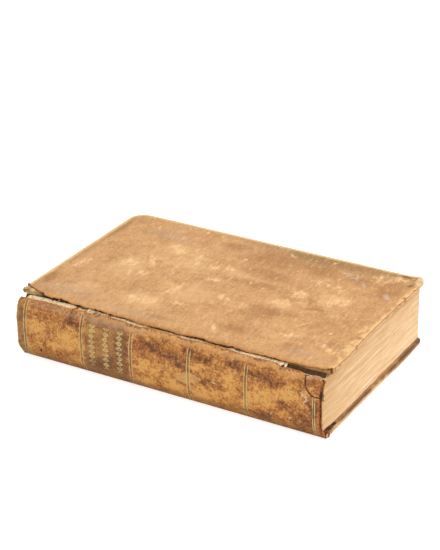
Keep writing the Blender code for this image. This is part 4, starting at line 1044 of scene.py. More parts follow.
def cover_marks(side, x, y, from_tear, depth):
    """Everything that has happened to a cover's skin, and the shadow painted along the back cover's tail, as
    numbers from 0 to 1.
    """
    head_way, tail_way, fore_way = x - HEAD, TAIL - x, FORE_EDGE - y
    inset = np.minimum(np.minimum(head_way, tail_way), fore_way)
    for from_end, radius in ((head_way, CORNERS[side][0]), (tail_way, CORNERS[side][1])):
        u, v = radius - from_end, radius - fore_way
        inset = np.where((u > 0) & (v > 0), radius - np.hypot(u, v), inset)
    wobble = 0.003 * crumple(0.008, x, y, 0.7)
    from_joint = y - JOINT
    from_head = x - HEAD + TAIL_RUN_OUT * np.clip(from_joint, 0, None) / BOARD_WIDTH * along(x)
    worn_off = np.interp(from_head, (0.030, 0.075, 0.110, 0.160, 0.210), (0.30, 0.25, 0.75, 1.10, 1.0))
    reach = np.interp(from_head, (0.08, 0.12), (0.016, 0.028))
    handled = np.maximum(0.85 * unit(1 - head_way / 0.011), worn_off * unit(1 - fore_way / reach))
    uneven = 0.5 + 0.5 * crumple(0.010, x, y, 3.0)
    lumpy = 0.5 + 0.5 * crumple(0.004, x, y, 5.0)
    near_tail = tail_way < 0.004
    crest = unit(1.3 - (inset + 0.5 * depth - 0.0012 * uneven) / 0.0032) ** 0.6
    orange = np.exp(-((depth - 0.0010) / 0.0006) ** 2) * near_tail * unit(0.35 + lumpy)
    holes = unit(crumple(0.0034, x + y, 1.6 * depth, 11.0) * 2.4 - 0.75) * np.where(near_tail, 1, 0.8)
    marks = {
        "scuff": patches(from_head + wobble, from_joint - wobble, COVER_SCUFFS),
        "pale": patches(from_head + 2 * wobble, from_joint - 2 * wobble, COVER_PALE),
        "dark": patches(from_head - wobble, from_joint + wobble, COVER_DARK),
        "film": patches(from_head - 2 * wobble, from_joint + 2 * wobble, COVER_FILM),
        "edge": np.maximum(handled * (0.7 + 0.5 * uneven), 0.25 * unit(1 - from_tear / 0.008)),
        "crest": crest * np.where(near_tail, unit(0.2 + 1.1 * lumpy), 1),
        "bruise": unit((depth - 0.0014) / 0.0016) * unit(1 - inset / 0.001) * (0.3 + uneven) * ~near_tail,
        "dusty": unit((depth - 0.0013) / 0.0006) * unit(1.5 - inset / 0.001) * near_tail,
        "torn": unit(1.2 - from_tear / 0.0013),
        # On the cover, bloom_and_sheen holds the whitish bloom patches.
        "bloom_and_sheen": patches(from_head, from_joint, COVER_BLOOM),
        "spot": patches(from_head, from_joint, COVER_SPOTS),
        "ink": patches(from_head, from_joint, INK_SPOT),
        "bare": np.zeros_like(x),
        "crack": np.zeros_like(x),
        "nicked": np.maximum(np.maximum(holes, orange) * unit(1.6 - inset / 0.0016),
                             0.9 * patches(from_head, from_joint, TAIL_NICKS)),
    }
    if side == "back":
        at_edge = unit(1 - inset / 0.0014)
        dusted = np.interp(from_joint, (0.0, 0.03, 0.07, 0.16), (1.0, 0.9, 0.4, 0.2))
        marks["dusty"] = at_edge * near_tail * dusted * (0.7 + 0.5 * uneven)
        bruised = np.interp(from_joint, (0.0, 0.03, 0.08, 0.16), (0.0, 0.1, 0.5, 0.8))
        marks["bruise"] = (unit(depth / 0.0014) * at_edge * (0.5 + 0.8 * uneven)
                           * np.where(near_tail, bruised, 1))
        marks["nicked"] = marks["nicked"] * 0.6
        # Painted shadow: a dark line on the back cover's turn-in at the tail, where the leaves shade it,
        # stored in the crack mark.
        shadow_line = unit((depth - 0.0027 - 0.0004 * (lumpy - 0.5)) / 0.0002) * near_tail
        darkened = np.interp(from_joint, (0.004, 0.012, 0.035), (0.9, 0.7, 1.0))
        marks["crack"] = shadow_line * (0.6 + 0.5 * uneven) * darkened
    if side == "front":
        ragged = 0.0020 * crumple(0.0035, x, y, 4.0) + 0.0009 * crumple(0.0014, x, y, 9.0)
        corner = np.hypot(tail_way - 0.0005, (fore_way - 0.0005) / 2.6) - 0.0054 + ragged
        marks["bare"] = unit(-corner / 0.0016) * (0.25 + 0.65 * lumpy)
        crease = np.exp(-((tail_way - 0.0044 + ragged) / 0.0005) ** 2) * unit(1.2 - fore_way / 0.010)
        outline = 0.75 * unit(1 - np.abs(corner - 0.0003) / 0.0007)
        marks["crack"] = np.maximum(0.8 * outline, 0.65 * crease) * (depth < 0.001)
        marks["bruise"] = np.maximum(marks["bruise"],
                                     patches(from_head + wobble / 3, from_joint, CORNER_BRUISES))
    return marks


def skin_section():
    """The skin's line round a board's edge, as (inset, depth): arris, edge, turn-in."""
    inner = TURN_IN_DEPTH + PARED_LEATHER
    turns = np.linspace(0, math.pi / 2, 6)[1:]
    section = [(EDGE_ROUND * (1 - math.sin(turn)), EDGE_ROUND * (1 - math.cos(turn))) for turn in turns]
    section += [(0.0, depth) for depth in np.linspace(EDGE_ROUND, inner - EDGE_ROUND, 4)[1:]]
    section += [(EDGE_ROUND * (1 - math.cos(turn)), inner - EDGE_ROUND * (1 - math.sin(turn)))
                for turn in turns]
    return section + [(0.004, inner), (0.009, inner), (TURN_IN_WIDTH, inner)]


def cover_skin(side):
    """The skin over a board: its face, its rounded edges and its turn-ins."""
    front = side == "front"
    rows = np.concatenate([np.linspace(0, 0.05, 26), np.linspace(0.05, 0.965, 88)[1:],
                           np.linspace(0.965, 1, 9)[1:]])
    starts = (0.0024, 0.0008)
    if front:
        starts = tuple(LIP_SET + float(tear_way(end)) for end in (HEAD + 0.0015, TAIL - 0.001))
    rim = edge_path(side, EDGE_ROUND, starts, rows, FORE_COLUMNS)
    column_x, fore_y = rim[len(rows) - 1:len(rim) - len(rows) + 1].T
    start = tear_way(column_x) if front else np.full(len(column_x), starts[0] - LIP_SET)
    start[0], start[-1] = starts[0] - LIP_SET, starts[1] - LIP_SET
    way = start + (fore_y - JOINT - LIP_SET - start) * rows[:, None]
    x = np.repeat(column_x[None, :], len(rows), axis=0)
    from_tear = way - start
    worn = 0.00009 * (1 - wander(0.03, x, way, 1.0)) + 0.00006 * (1 - crumple(0.004, x, way, 2.0))
    # The back cover is worn less deeply, so that it lies flat on its face when it is open.
    worn *= 1 if front else 0.45
    lifted = 0.0004 * unit(1 - from_tear / 0.0016) * unit(0.5 + wander(0.005, x, 9.0))
    y, depth = rolled_point(way, worn - lifted * (way < 0))
    depth = np.maximum(depth, 0)
    points = np.stack([x, JOINT + y, depth], axis=-1).reshape(-1, 3)
    count = len(column_x)
    faces = grid_faces(len(rows), count)

    # The rest goes round the rim, ring by ring, from the face to the turn-in.
    index = np.arange(len(points)).reshape(len(rows), count)
    rings = [np.concatenate([index[:, 0], index[-1, 1:-1], index[::-1, -1]])]
    length = np.concatenate([[0], np.cumsum(np.linalg.norm(np.diff(rim, axis=0), axis=1))])
    nicks = 0.0010 * unit(crumple(0.009, length, 0.5 + front) - 0.15)
    nicks += 0.00016 * (1 + crumple(0.0025, length, 2.0))
    sheets = [points]
    for inset, deep in skin_section():
        path = edge_path(side, inset, starts, rows, FORE_COLUMNS)
        outward = path - edge_path(side, inset + 0.001, starts, rows, FORE_COLUMNS)
        outward /= np.maximum(np.linalg.norm(outward, axis=1), 1e-9)[:, None]
        path = path - outward * (nicks * unit(1 - abs(deep - 0.0014) / 0.0026))[:, None]
        first = rings[-1].max() + 1
        rings.append(np.arange(first, first + len(path)))
        sheets.append(np.column_stack([path, np.full(len(path), deep)]))
    points = np.concatenate(sheets)
    faces = np.concatenate([faces] + [np.stack([b[:-1], b[1:], a[1:], a[:-1]], axis=1)
                                      for a, b in zip(rings, rings[1:])])
    # The tail edge stands off the board or is pushed in.
    at_tail = unit(1 - (TAIL - points[:, 0]) / 0.004)
    points[:, 0] += at_tail * curve_at(TAIL_BULGE[side], (points[:, 1] - JOINT) / BOARD_WIDTH)
    ends = points[:, 1] - JOINT - np.where(points[:, 0] < 0, starts[0], starts[1])
    tear = np.where(np.arange(len(points)) < from_tear.size, np.resize(from_tear, len(points)),
                    np.clip(ends, 0, None) + 0.0004)
    marks = cover_marks(side, points[:, 0], points[:, 1], tear, points[:, 2])
    if front:
        off_tail, off_fore = TAIL - points[:, 0] - 0.003, FORE_EDGE - points[:, 1] - 0.003
        swollen = unit(1 - np.hypot(off_tail, off_fore) / 0.013)
        swollen = CORNER_SWELL * swollen ** 1.3 * (1 + 0.25 * crumple(0.004, points[:, 0], points[:, 1], 6.0))
        points[:, 2] -= swollen * unit(1.4 - points[:, 2] / 0.0035)
    points[:, 2] = turned(side, points[:, 2])
    faces = faces if front else faces[:, ::-1]
    points, faces, cut, source = with_cut_edge(points, faces, LEATHER * 0.8, under=0.0008)
    marks = {name: values[source] for name, values in marks.items()}
    skin = piece(f"{side}_cover_skin", points, faces, (COVER_CALF, COVER_FLESH), marks, cut,
                 proud=CORNER_SWELL)
    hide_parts(f"{side}_cover_leather")
    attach(skin, f"{side}_cover")


def front_board():
    """The front board, with its bare spine edge frayed into layers."""
    columns = np.concatenate([[HEAD + BOARD_DEPTH], np.arange(HEAD + 0.0014, TAIL - 0.0012, 0.0006),
                              [TAIL - BOARD_DEPTH]])
    layers = np.linspace(0, 1, 13)
    inward_rows = (0.150, 0.060, 0.012, 0.0065, 0.0050, 0.0035, 0.0022, 0.0012, 0.0005)
    loose = np.interp(columns - HEAD, (0.0, 0.012, 0.20, 0.215), (1.5, 1.0, 1.0, 2.2))
    points = []
    for inward in inward_rows:
        rough = 0.00012 * crumple(0.004, columns, inward * 40)
        # Where the skin is gone at the head, the corner has swollen and stands proud.
        bare = unit((0.0052 - 0.50 * (columns - HEAD) - inward) / 0.0015)
        swollen = (BOARD_DEPTH - 0.0004) * bare * (0.75 + 0.25 * crumple(0.002, columns, inward, 8.0))
        points.append(np.stack([columns, np.full_like(columns, JOINT + SPLIT_CLEARANCE + inward),
                                TOP - BOARD_DEPTH + rough - 0.0001 + swollen], axis=-1))
    for layer in layers:
        ragged = (0.00045 * crumple(0.005, columns, layer * 0.012, 3.0)
                  + 0.0003 * wander(0.0012, columns, layer * 0.02, 4.0))
        spread = (0.0005 * (2 * layer - 1) + 0.0002 * crumple(0.006, columns, layer * 0.01, 6.0)) * loose
        depth = BOARD_DEPTH + MILLBOARD * layer + np.where(layer > 0.5, spread, 0.3 * spread)
        bare = unit((0.0052 - 0.50 * (columns - HEAD)) / 0.0015) * (1 - layer)
        depth = np.maximum(depth, BOARD_DEPTH) - (BOARD_DEPTH - 0.0005) * bare
        points.append(np.stack([columns, JOINT + SPLIT_CLEARANCE - 0.0002 + ragged, TOP - depth], axis=-1))
    for inward in reversed(inward_rows):
        points.append(np.stack([columns, np.full_like(columns, JOINT + SPLIT_CLEARANCE + inward),
                                np.full_like(columns, TOP - BOARD_DEPTH - MILLBOARD)], axis=-1))
    points = np.array(points)
    # The two far corners are round, so the outer rows follow them.
    for row in (0, -1):
        points[row, :, 1] = FORE_EDGE - BOARD_DEPTH
        for end, radius, way in ((HEAD, CORNERS["front"][0], 1), (TAIL, CORNERS["front"][1], -1)):
            inside = radius - BOARD_DEPTH
            off = np.clip(inside - (columns - end - way * BOARD_DEPTH) * way, 0, inside)
            points[row, :, 1] -= inside - np.sqrt(np.maximum(inside ** 2 - off ** 2, 0))
    # The bare corner at the head reaches as far as the skin does elsewhere.
    reach = unit((0.0056 - (points[:, 0, 1] - JOINT)) / 0.0012)
    points[:, 0, 0] -= (BOARD_DEPTH - 0.0002) * reach * (0.8 + 0.2 * wander(0.0008, points[:, 0, 2], 3.0))
    rows, count = points.shape[:2]
    points = points.reshape(-1, 3)
    faces = [tuple(face[::-1]) for face in grid_faces(rows, count)]
    faces.append(tuple(range(0, rows * count, count)))
    faces.append(tuple(range(rows * count - 1, 0, -count)))
    faces += [(a + 1, a, a + (rows - 1) * count, a + 1 + (rows - 1) * count) for a in range(count - 1)]
    x = points[:, 0]
    pulp = np.interp(x - HEAD, (0.0, 0.004, 0.018, 0.030, 0.2, 0.215), (1.0, 0.95, 0.6, 0.2, 0.1, 0.25))
    pulp = pulp * unit(0.55 + 0.8 * crumple(0.003, x, points[:, 2] * 3))
    # Painted shade on the board's spine edge where it lies under the cover's lip, and dark seams between its
    # layers.
    split_shade_and_seams = np.interp(x - HEAD, (0.010, 0.018, 0.086, 0.094, 0.134, 0.142, 0.203, 0.212),
                      (0.0, 0.95, 0.95, 0.2, 0.2, 0.95, 0.95, 0.0)) * (points[:, 1] < JOINT + 0.002)
    seams = unit(crumple(0.0011, points[:, 2], x * 0.06, 7.0) * 2.5) * (points[:, 1] < JOINT + 0.002)
    split_shade_and_seams = np.maximum(split_shade_and_seams, 0.6 * seams)
    board = piece("front_board_torn", points, faces, (BOARD,), {"pulp": pulp, "split_shade_and_seams": split_shade_and_seams}, crease=50)
    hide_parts("front_board")
    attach(board, "front_cover")


# -------------------------------------------------------------- leaves
def leaf_block():
    """All the leaves: each ridge on the three trimmed edges is a few leaves that stand out."""
    rows = np.linspace(0, 1, 221)
    tail = np.concatenate([[0], np.linspace(0.006, 0.994, 60)])
    fore = np.concatenate([[0], np.linspace(0.006, 0.994, 90)])
    sides = {"back": np.linspace(0, 1, 25)[:-1], "tail": tail, "fore": fore, "head": tail}
    kinds = np.concatenate([[kind] * len(places) for kind, places in sides.items()])
    shares = np.concatenate(list(sides.values()))
    count = len(shares)
    on_side = [kinds == kind for kind in sides]
    x_share = np.select(on_side, [shares, 1.0, 1 - shares, 0.0])
    y_share = np.select(on_side, [0.0, shares, 1.0, 1 - shares])
    # Each side has its own stretch of the pattern of leaf edges.
    reach = np.select(on_side, [0, 1, 2, 3]) * 0.25 + shares * np.select(on_side, [0.24, 0.155, 0.24, 0.155])
    height = rows[:, None] * np.ones(count)
    v = height * LEAVES_THICKNESS
    u = np.broadcast_to(reach, v.shape)
    side = np.broadcast_to((kinds != "back"), v.shape)
    lumps = 0.5 + 0.5 * np.abs(np.sin(math.pi * GATHERINGS * height))
    trim = (0.00016 * (1 - lumps) + 0.00011 * (1 + wander(0.0013, v, u * 0.02, 1.0))
            + 0.00007 * (1 + wander(0.0003, v, u * 0.03, 2.0)))
    trim += 0.00012 * (1 + wander(0.0034, v, u * 0.06, 5.0))
    trim = np.where(side, trim, 0)
    way_in = np.where(x_share == 0, 1, np.where(x_share == 1, -1, 0))
    x = LEAF_HEAD + (LEAF_TAIL - LEAF_HEAD) * x_share + way_in * trim
    power = squareness(height - 0.5)
    fullness = np.maximum(1 - np.abs(2 * height - 1) ** power, 0) ** (1 / power)
    lean = cock(x) * (height - 0.5)
    back_y = -SHOULDER_SET - BACK_ROUND * fullness - lean + 0.0002
    fore_y = (BOARD_WIDTH - FORE_SQUARE - FORE_HOLLOW * (1 - (2 * height - 1) ** 2) - lean
              - np.where(y_share == 1, trim, 0.0001))
    inward = back_y + (fore_y - back_y) * y_share[None, :]
    corner = ((x_share == 0) | (x_share == 1)) & (y_share == 1)
    x += np.where(corner[None, :], 0.0006 * (1 - 2 * x_share)[None, :], 0)
    inward = inward - np.where(corner[None, :], 0.0006, 0)
    wave = 0.00035 * np.sin(5 * x_share + 4 * y_share)[None, :] * np.sin(2 * math.pi * height)
    wave = wave * unit(inward / PINCH_RUN)
    wave += 0.0003 * wander(0.05, u, 0.5 * v, 7.0) * np.sin(math.pi * height)
    squeeze = PINCH * unit(1 - inward / PINCH_RUN) ** 2
    z = LEAVES_MIDDLE + (2 * height - 1) * (LEAVES_THICKNESS / 2 - squeeze) + wave
    z = np.clip(z, LEAF_LOW, LEAF_HIGH)
    points = np.stack([x, JOINT + inward, z], axis=-1).reshape(-1, 3)
    faces = []
    ring = np.arange(count)
    after = (ring + 1) % count
    for row in range(len(rows) - 1):
        faces.append(np.stack([row * count + ring, row * count + after,
                               (row + 1) * count + after, (row + 1) * count + ring], axis=1))
    faces = [tuple(face) for face in np.concatenate(faces)]
    walls = len(faces)
    faces.append(tuple(reversed(range(count))))
    faces.append(tuple(range((len(rows) - 1) * count, len(rows) * count)))
    # Painted shade: darker along the bottom and top of the leaves, where the covers shade them, and towards
    # the spine.
    edge_shade = np.clip(0.5 - (z - LEAF_LOW) / 0.002, 0, 0.4) + np.clip(1 - (LEAF_HIGH - z) / 0.003, 0, 0.5)
    edge_shade = edge_shade + 0.35 * unit(1 - inward / 0.02)
    laid = np.stack([u.ravel(), v.ravel(), np.zeros(v.size)], axis=-1)
    # Painted shade: darker towards the top of the leaves, most at the tail, where it also darkens towards the
    # spine.
    at_tail = np.broadcast_to(kinds == "tail", v.shape)
    shade_gradient = 0.5 + np.where(at_tail, 0.9, 0.5) * (height - 0.5) + np.where(at_tail, 0.3 - 0.6 * y_share, 0)
    gap = 0.0004 + 0.0004 * wander(0.012, u, 3.0, 8.0) + 0.0003 * wander(0.003, u, 3.0, 9.0)
    shadowed = unit(1.5 - v / np.maximum(gap, 0.0001))
    shadowed = np.where(kinds == "back", np.interp(x - HEAD, (0.2345, 0.2375), (0.9, 0.2)), shadowed)
    shown = [0] * walls + [1, 1]
    marks = {"laid": laid, "edge_shade": edge_shade.ravel(), "shade_gradient": unit(shade_gradient).ravel(),
             "shadowed": shadowed.ravel()}
    block = piece("leaves", points, faces, (LEAF_EDGES, FLYLEAF), marks, shown, crease=60)
    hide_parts("page_block")
    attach(block, "book_block")


# ------------------------------------------------------ in the split
def lining_stub():
    """The torn lining that stands up out of the split, cream and ragged."""
    x = np.arange(HEAD + 0.0052, TAIL - 0.0300, 0.0005)
    ragged = np.interp(x - HEAD, (0.040, 0.046, 0.075, 0.080), (0.4, 1.0, 1.0, 0.6))
    rough = 0.0004 * crumple(0.005, x, 1.5) + 0.0003 * wander(0.0011, x, 2.5)
    top = curve_at(LINING_TOP, along(x)) + ragged * rough
    top = top + 0.0016 * unit(1 - (x - HEAD - 0.0052) / 0.002)
    top = top + 0.0022 * unit(1 - np.abs(x - HEAD - 0.0265) / 0.0006)
    low = on_spine(x, skin_length(x) - curve_at(SPINE_LIP_LOSS, along(x)) - 0.0025, -0.0011)
    high_y = JOINT - 0.0011 + 0.0002 * crumple(0.006, x, 3.5)
    rows = []
    for share in np.linspace(0, 1, 9):
        y = low[:, 1] + (high_y - low[:, 1]) * share ** 1.4
        z = low[:, 2] + np.maximum(TOP - top - low[:, 2], -0.0002) * share
        rows.append(np.stack([x, y + 0.0002 * ragged * crumple(0.003, x, share * 0.004, 5.5), z], axis=-1))
    points = np.array(rows).reshape(-1, 3)
    points, faces = with_cut_edge(points, grid_faces(len(rows), len(x)), 0.00035, under=0.001)[:2]
    from_head = points[:, 0] - HEAD
    leathered = np.interp(from_head, (0.040, 0.046, 0.054, 0.072, 0.080, 0.205),
                          (0.0, 0.50, 0.42, 0.52, 0.36, 0.36))
    # Painted shade: a near-black patch about 208 mm from the head, more than 4 mm below the top face, where
    # the split is hollow.
    hollow_shade = unit(1.6 - np.abs(from_head - 0.2082) / 0.0011) * (points[:, 2] < TOP - 0.0040)
    marks = {"leathered": leathered, "hollow_shade": hollow_shade}
    stub = piece("torn_lining", points, faces, (TORN_PAPER,), marks, crease=40)
    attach(stub, "book_block")


def fray(root, way, side, length, width, thick, seed):
    """A torn strand or shred: a tapering strip that bends as it goes."""
    way, side = np.array(way, float), np.array(side, float)
    way /= np.linalg.norm(way)
    up = np.cross(side, way)
    up /= max(np.linalg.norm(up), 1e-9)
    side = np.cross(way, up)
    local = np.random.default_rng(seed)
    bend, twist = local.uniform(-0.9, 0.9, 2)
    points = []
    place = np.array(root, float)
    steps = 5
    for step in range(steps + 1):
        share = step / steps
        half = width / 2 * (1 - share) ** 0.7 * local.uniform(0.75, 1.1) + 0.00003
        points += [place - side * half, place + up * thick / 2, place + side * half, place - up * thick / 2]
        way = way + (up * bend + side * twist * 0.6) / steps
        way /= np.linalg.norm(way)
        up = np.cross(side, way)
        up /= np.linalg.norm(up)
        place = place + way * length / steps
    faces = []
    for step in range(steps):
        for k in range(4):
            a, b = step * 4 + k, step * 4 + (k + 1) % 4
            faces.append((a, b, b + 4, a + 4))
    faces.append((3, 2, 1, 0))
    faces.append(tuple(range(steps * 4, steps * 4 + 4)))
    return points, faces


def frays(name, body, material, strands):
    """Many strands as one piece. A strand is (root, way, side, length, width)."""
    points, faces = [], []
    for number, (root, way, side, length, width) in enumerate(strands):
        more, quads = fray(root, way, side, length, width, min(width * 0.5, 0.0003), 100 + number)
        faces += [tuple(len(points) + i for i in quad) for quad in quads]
        points += more
    item = piece(name, points, faces, (material,), crease=50)
    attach(item, body)


def strand_size(lengths, widths):
    """A strand's length, drawn between two, and its width, drawn from a few."""
    return rng.uniform(*lengths), rng.choice(widths)

def torn_fibres():
    """Fibres and shreds of skin that hang from the tears."""
    lip = []
    for x in rng.uniform(HEAD + 0.004, TAIL - 0.004, 120):
        way = float(tear_way(np.array([x]))[0])
        y, depth = rolled_point(np.array([way]), np.array([0.0004]))
        root = (x, JOINT + float(y[0]), TOP - float(depth[0]))
        down = -1.0 if way < 0 else -0.25
        direction = (rng.uniform(-0.7, 0.7), rng.uniform(-0.5, -0.1), down + rng.uniform(-0.2, 0.4))
        lip.append((root, direction, (1, 0, 0), *strand_size((0.0003, 0.0009), (0.00015, 0.0003, 0.0006))))
    frays("front_tear_fibres", "front_cover", COVER_FLESH, lip)

    corner = []
    for _ in range(22):
        x = HEAD + rng.uniform(0.0002, 0.0022)
        y = JOINT + rng.uniform(-0.0004, 0.0050)
        z = TOP - rng.uniform(0.0004, 0.0034)
        direction = (rng.uniform(-1.2, 0.1), rng.uniform(-1.0, 0.2), rng.uniform(-0.8, 0.5))
        size = strand_size((0.0008, 0.0022), (0.0003, 0.0006, 0.0010))
        corner.append(((x, y, z), direction, (0, 0.7, 0.7), *size))
    frays("front_head_corner_shreds", "front_cover", SPINE_FLESH, corner)

    tail = []
    for _ in range(14):
        x = TAIL - rng.uniform(0.0003, 0.0035)
        y = JOINT + rng.uniform(-0.0002, 0.0045)
        z = TOP - rng.uniform(0.0008, 0.0038)
        direction = (rng.uniform(-0.2, 0.5), rng.uniform(-0.6, 0.5), rng.uniform(-1.0, 0.2))
        size = strand_size((0.0006, 0.0016), (0.0002, 0.0005, 0.0009))
        tail.append(((x - 0.001, y, z), direction, (0, 1, 0), *size))
    # Three shreds of the turn-in hang down in front of the leaves.
    for y, length, width in ((0.0058, 0.0020, 0.0012), (0.0075, 0.0026, 0.0009), (0.0092, 0.0022, 0.0010)):
        tail.append(((TAIL - 0.0004, JOINT + y, TOP - 0.0034), (0.25, 0.15, -1.0), (0, 1, 0), length, width))
    frays("front_tail_corner_shreds", "front_cover", COVER_FLESH, tail)

    spine = []
    for x in rng.uniform(HEAD + 0.002, TAIL - 0.018, 110):
        at = np.array([x])
        high = skin_length(at) - curve_at(SPINE_LIP_LOSS, along(at)) + curve_at(LIP_REMAINS, along(at))
        root = on_spine(at, high - 0.0003, -0.0004)[0]
        direction = (rng.uniform(-0.7, 0.7), rng.uniform(-0.1, 0.7), rng.uniform(0.1, 0.9))
        spine.append((root, direction, (1, 0, 0), *strand_size((0.0003, 0.0009), (0.00015, 0.0003, 0.0006))))
    for _ in range(22):
        at = np.array([HEAD + rng.uniform(0.0016, 0.0045)])
        root = on_spine(at, skin_length(at) * rng.uniform(0.87, 0.96), -0.0004)[0]
        direction = (rng.uniform(-0.9, 0.2), rng.uniform(-0.2, 0.6), rng.uniform(0.0, 0.9))
        size = strand_size((0.0008, 0.0018), (0.0003, 0.0006, 0.0009))
        spine.append((root, direction, (0, 1, 0), *size))
    frays("spine_tear_fibres", "book_block", SPINE_FLESH, spine)


def curled_turn_in():
    """A torn turn-in that has curled up in the gap between the back board and the leaves."""
    y = np.linspace(JOINT + 0.0014, JOINT + 0.0150, 50)
    rows = []
    rise = np.interp(y - JOINT, (0.0014, 0.003, 0.007, 0.010, 0.015),
                     (0.0010, 0.0019, 0.0020, 0.0006, 0.0001))
    rise = np.clip(rise * (1 + 0.6 * crumple(0.003, y, 4.4)), 0.0001, None)
    for share in np.linspace(0, 1, 7):
        x = TAIL - 0.0012 - 0.0014 * share - 0.0003 * crumple(0.004, y, share * 0.01, 1.0)
        z = 0.0036 + rise * np.sin(share * math.pi * 0.75)
        rows.append(np.stack([x, y, z], axis=-1))
    points = np.array(rows).reshape(-1, 3)
    faces = grid_faces(len(rows), len(y))[:, ::-1]
    points, faces = with_cut_edge(points, faces, 0.0004, under=0.0005)[:2]
    item = piece("back_turn_in_curl", points, faces, (CURLED_FLESH,), crease=40)
    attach(item, "back_cover")


# ---------------------------------------------------- across the joints
def back_corner_fold():
    """The fold of calf that closes the corner between the spine's tail and the back cover."""
    across, up = np.meshgrid(np.linspace(0, 1, 12), np.linspace(0, 1, 12))
    start = -0.0018 * np.sqrt(1 - up) - 0.0002
    y = start + (0.0014 - start) * across
    x = TAIL - 0.0007 + 0.0005 * np.sin(math.pi * up) * across + 0.00015 * crumple(0.0012, y, up * 0.003)
    z = 0.0001 + 0.0034 * up - 0.0006 * up * (1 - across)
    points = np.stack([x, JOINT + y, z], axis=-1).reshape(-1, 3)
    points, faces, cut, source = with_cut_edge(points, grid_faces(12, 12), 0.0005, under=0.0004)
    dusty = unit(0.5 + 1.2 * across.ravel())[source]
    fold = piece("back_corner_fold", points, faces, (COVER_CALF, COVER_FLESH), {"dusty": dusty}, cut)
    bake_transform(fold)


def back_joint_strip():
    """The calf that joins the spine to the back cover."""
    x = np.linspace(HEAD + 0.0021, TAIL - 0.0004, 240)
    rows = []
    for way in np.linspace(0.0045, 0.0, 8):
        rows.append(on_spine(x, np.full_like(x, way), -0.0001))
    for out in (0.0, 0.0004, 0.0008, 0.0012, 0.0018, 0.0026, 0.0036):
        rows.append(np.stack([x, np.full_like(x, JOINT + out), np.full_like(x, 0.00012)], axis=-1))
    points = np.array(rows).reshape(-1, 3)
    faces = grid_faces(len(rows), len(x))[:, ::-1]
    points, faces, cut = with_cut_edge(points, faces, 0.0005, under=0.0005)[:3]
    strip = piece("back_joint_skin", points, faces, (SPINE_CALF, SPINE_FLESH), None, cut)
    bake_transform(strip)


def inner_hinge(side):
    """The endpaper's fold, from the leaves round to the inside of the cover.

    In front, a dark brown sheet lies over the leaves' shoulder and shows in
    the split: painted shade, where the split looks down into shadow.
    """
    front = side == "front"
    x = np.linspace(LEAF_HEAD + 0.001, LEAF_TAIL - 0.001, 160)
    leaf_z = LEAF_HIGH if front else LEAF_LOW
    sign = 1 if front else -1
    cover_z = turned(side, COVER_INSIDE)
    rows = []
    for inward in (0.010, 0.006, 0.003, 0.001):
        squeeze = PINCH * (1 - inward / PINCH_RUN) ** 2
        rows.append((inward, leaf_z - sign * (squeeze - 0.00006)))
    rows += [(-0.0002, leaf_z - sign * 0.0016), (-0.0007, leaf_z - sign * 0.0010),
             (-0.0007, leaf_z - sign * 0.0005), (0.0, cover_z - sign * 0.0001)]
    rows += [(inward, cover_z) for inward in (0.001, 0.003, 0.006, 0.010)]
    points = np.array([np.stack([x, np.full_like(x, JOINT + y) + 0.0001 * wander(0.02, x, y * 50),
                                 np.full_like(x, z)], axis=-1) for y, z in rows]).reshape(-1, 3)
    faces = grid_faces(len(rows), len(x))
    if not front:
        faces = faces[:, ::-1]
    hinge = piece(f"{side}_inner_hinge", points, faces, (ENDPAPER,), crease=60)
    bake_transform(hinge)
    if front:
        # Painted shade: a dark brown sheet that darkens the split over the leaves' shoulder.
        rows = [(-0.0046, leaf_z - 0.0036), (-0.0043, leaf_z - 0.0021), (-0.0030, leaf_z - 0.0018),
                (-0.0018, leaf_z - 0.0016), (-0.0013, leaf_z - 0.0013), (-0.0012, leaf_z - 0.0010),
                (-0.0012, leaf_z - 0.0004), (-0.0006, cover_z - 0.0003), (0.0002, cover_z + 0.0002)]
        points = np.array([np.stack([x, JOINT + y + 0.0001 * crumple(0.004, x, y * 50, 4.0),
                                     np.full_like(x, z)], axis=-1) for y, z in rows]).reshape(-1, 3)
        lining = piece("front_joint_shade_sheet", points, grid_faces(len(rows), len(x)), (LINING_AND_SHADE_PAPER,), crease=60)
        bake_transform(lining)


def joint_cords(side):
    """The cords between the back and the board."""
    front = side == "front"
    sign = 1 if front else -1
    sunk = turned(side, BOARD_DEPTH + 0.0008)
    low = (LEAF_HIGH if front else LEAF_LOW) - sign * 0.0026
    for number, station in enumerate(CORD_STATIONS, 1):
        x = HEAD + station * BOARD_LENGTH
        path = [Vector((x, JOINT + y, z)) for y, z in
                ((0.0008, low - sign * 0.0004), (-0.0004, low), (-0.0010, low + sign * 0.0009),
                 (-0.0010, low + sign * 0.0024), (-0.0006, sunk - sign * 0.0008), (0.0002, sunk),
                 (0.0009, sunk + sign * 0.0001))]
        points, faces, sides = [], [], 10
        for index, place in enumerate(path):
            way = (path[min(index + 1, len(path) - 1)] - path[max(index - 1, 0)]).normalized()
            across = Vector((1, 0, 0))
            up = across.cross(way)
            for k in range(sides):
                turn = 2 * math.pi * k / sides
                points.append(place + JOINT_CORD_RADIUS * (math.cos(turn) * across + math.sin(turn) * up))
        for ring in range(len(path) - 1):
            for k in range(sides):
                a, b = ring * sides + k, ring * sides + (k + 1) % sides
                faces.append((a, b, b + sides, a + sides))
        cord = piece(f"{side}_joint_cord_{number}", points, faces, (HEMP,), crease=60)
        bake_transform(cord)


def dress_plain_nodes():
    """The CAD nodes whose shape is right as it is."""
    finishes = {"spine_lining": LINING_AND_SHADE_PAPER, "back_board": BOARD}
    for side in ("front", "back"):
        finishes[f"{side}_pastedown"] = ENDPAPER
    for number in range(1, len(CORD_STATIONS) + 1):
        for cord in ("sewing_cord", "front_cord_slip", "back_cord_slip"):
            finishes[f"{cord}_{number}"] = HEMP
    for name, material in finishes.items():
        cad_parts[name].material_slots[0].material = material


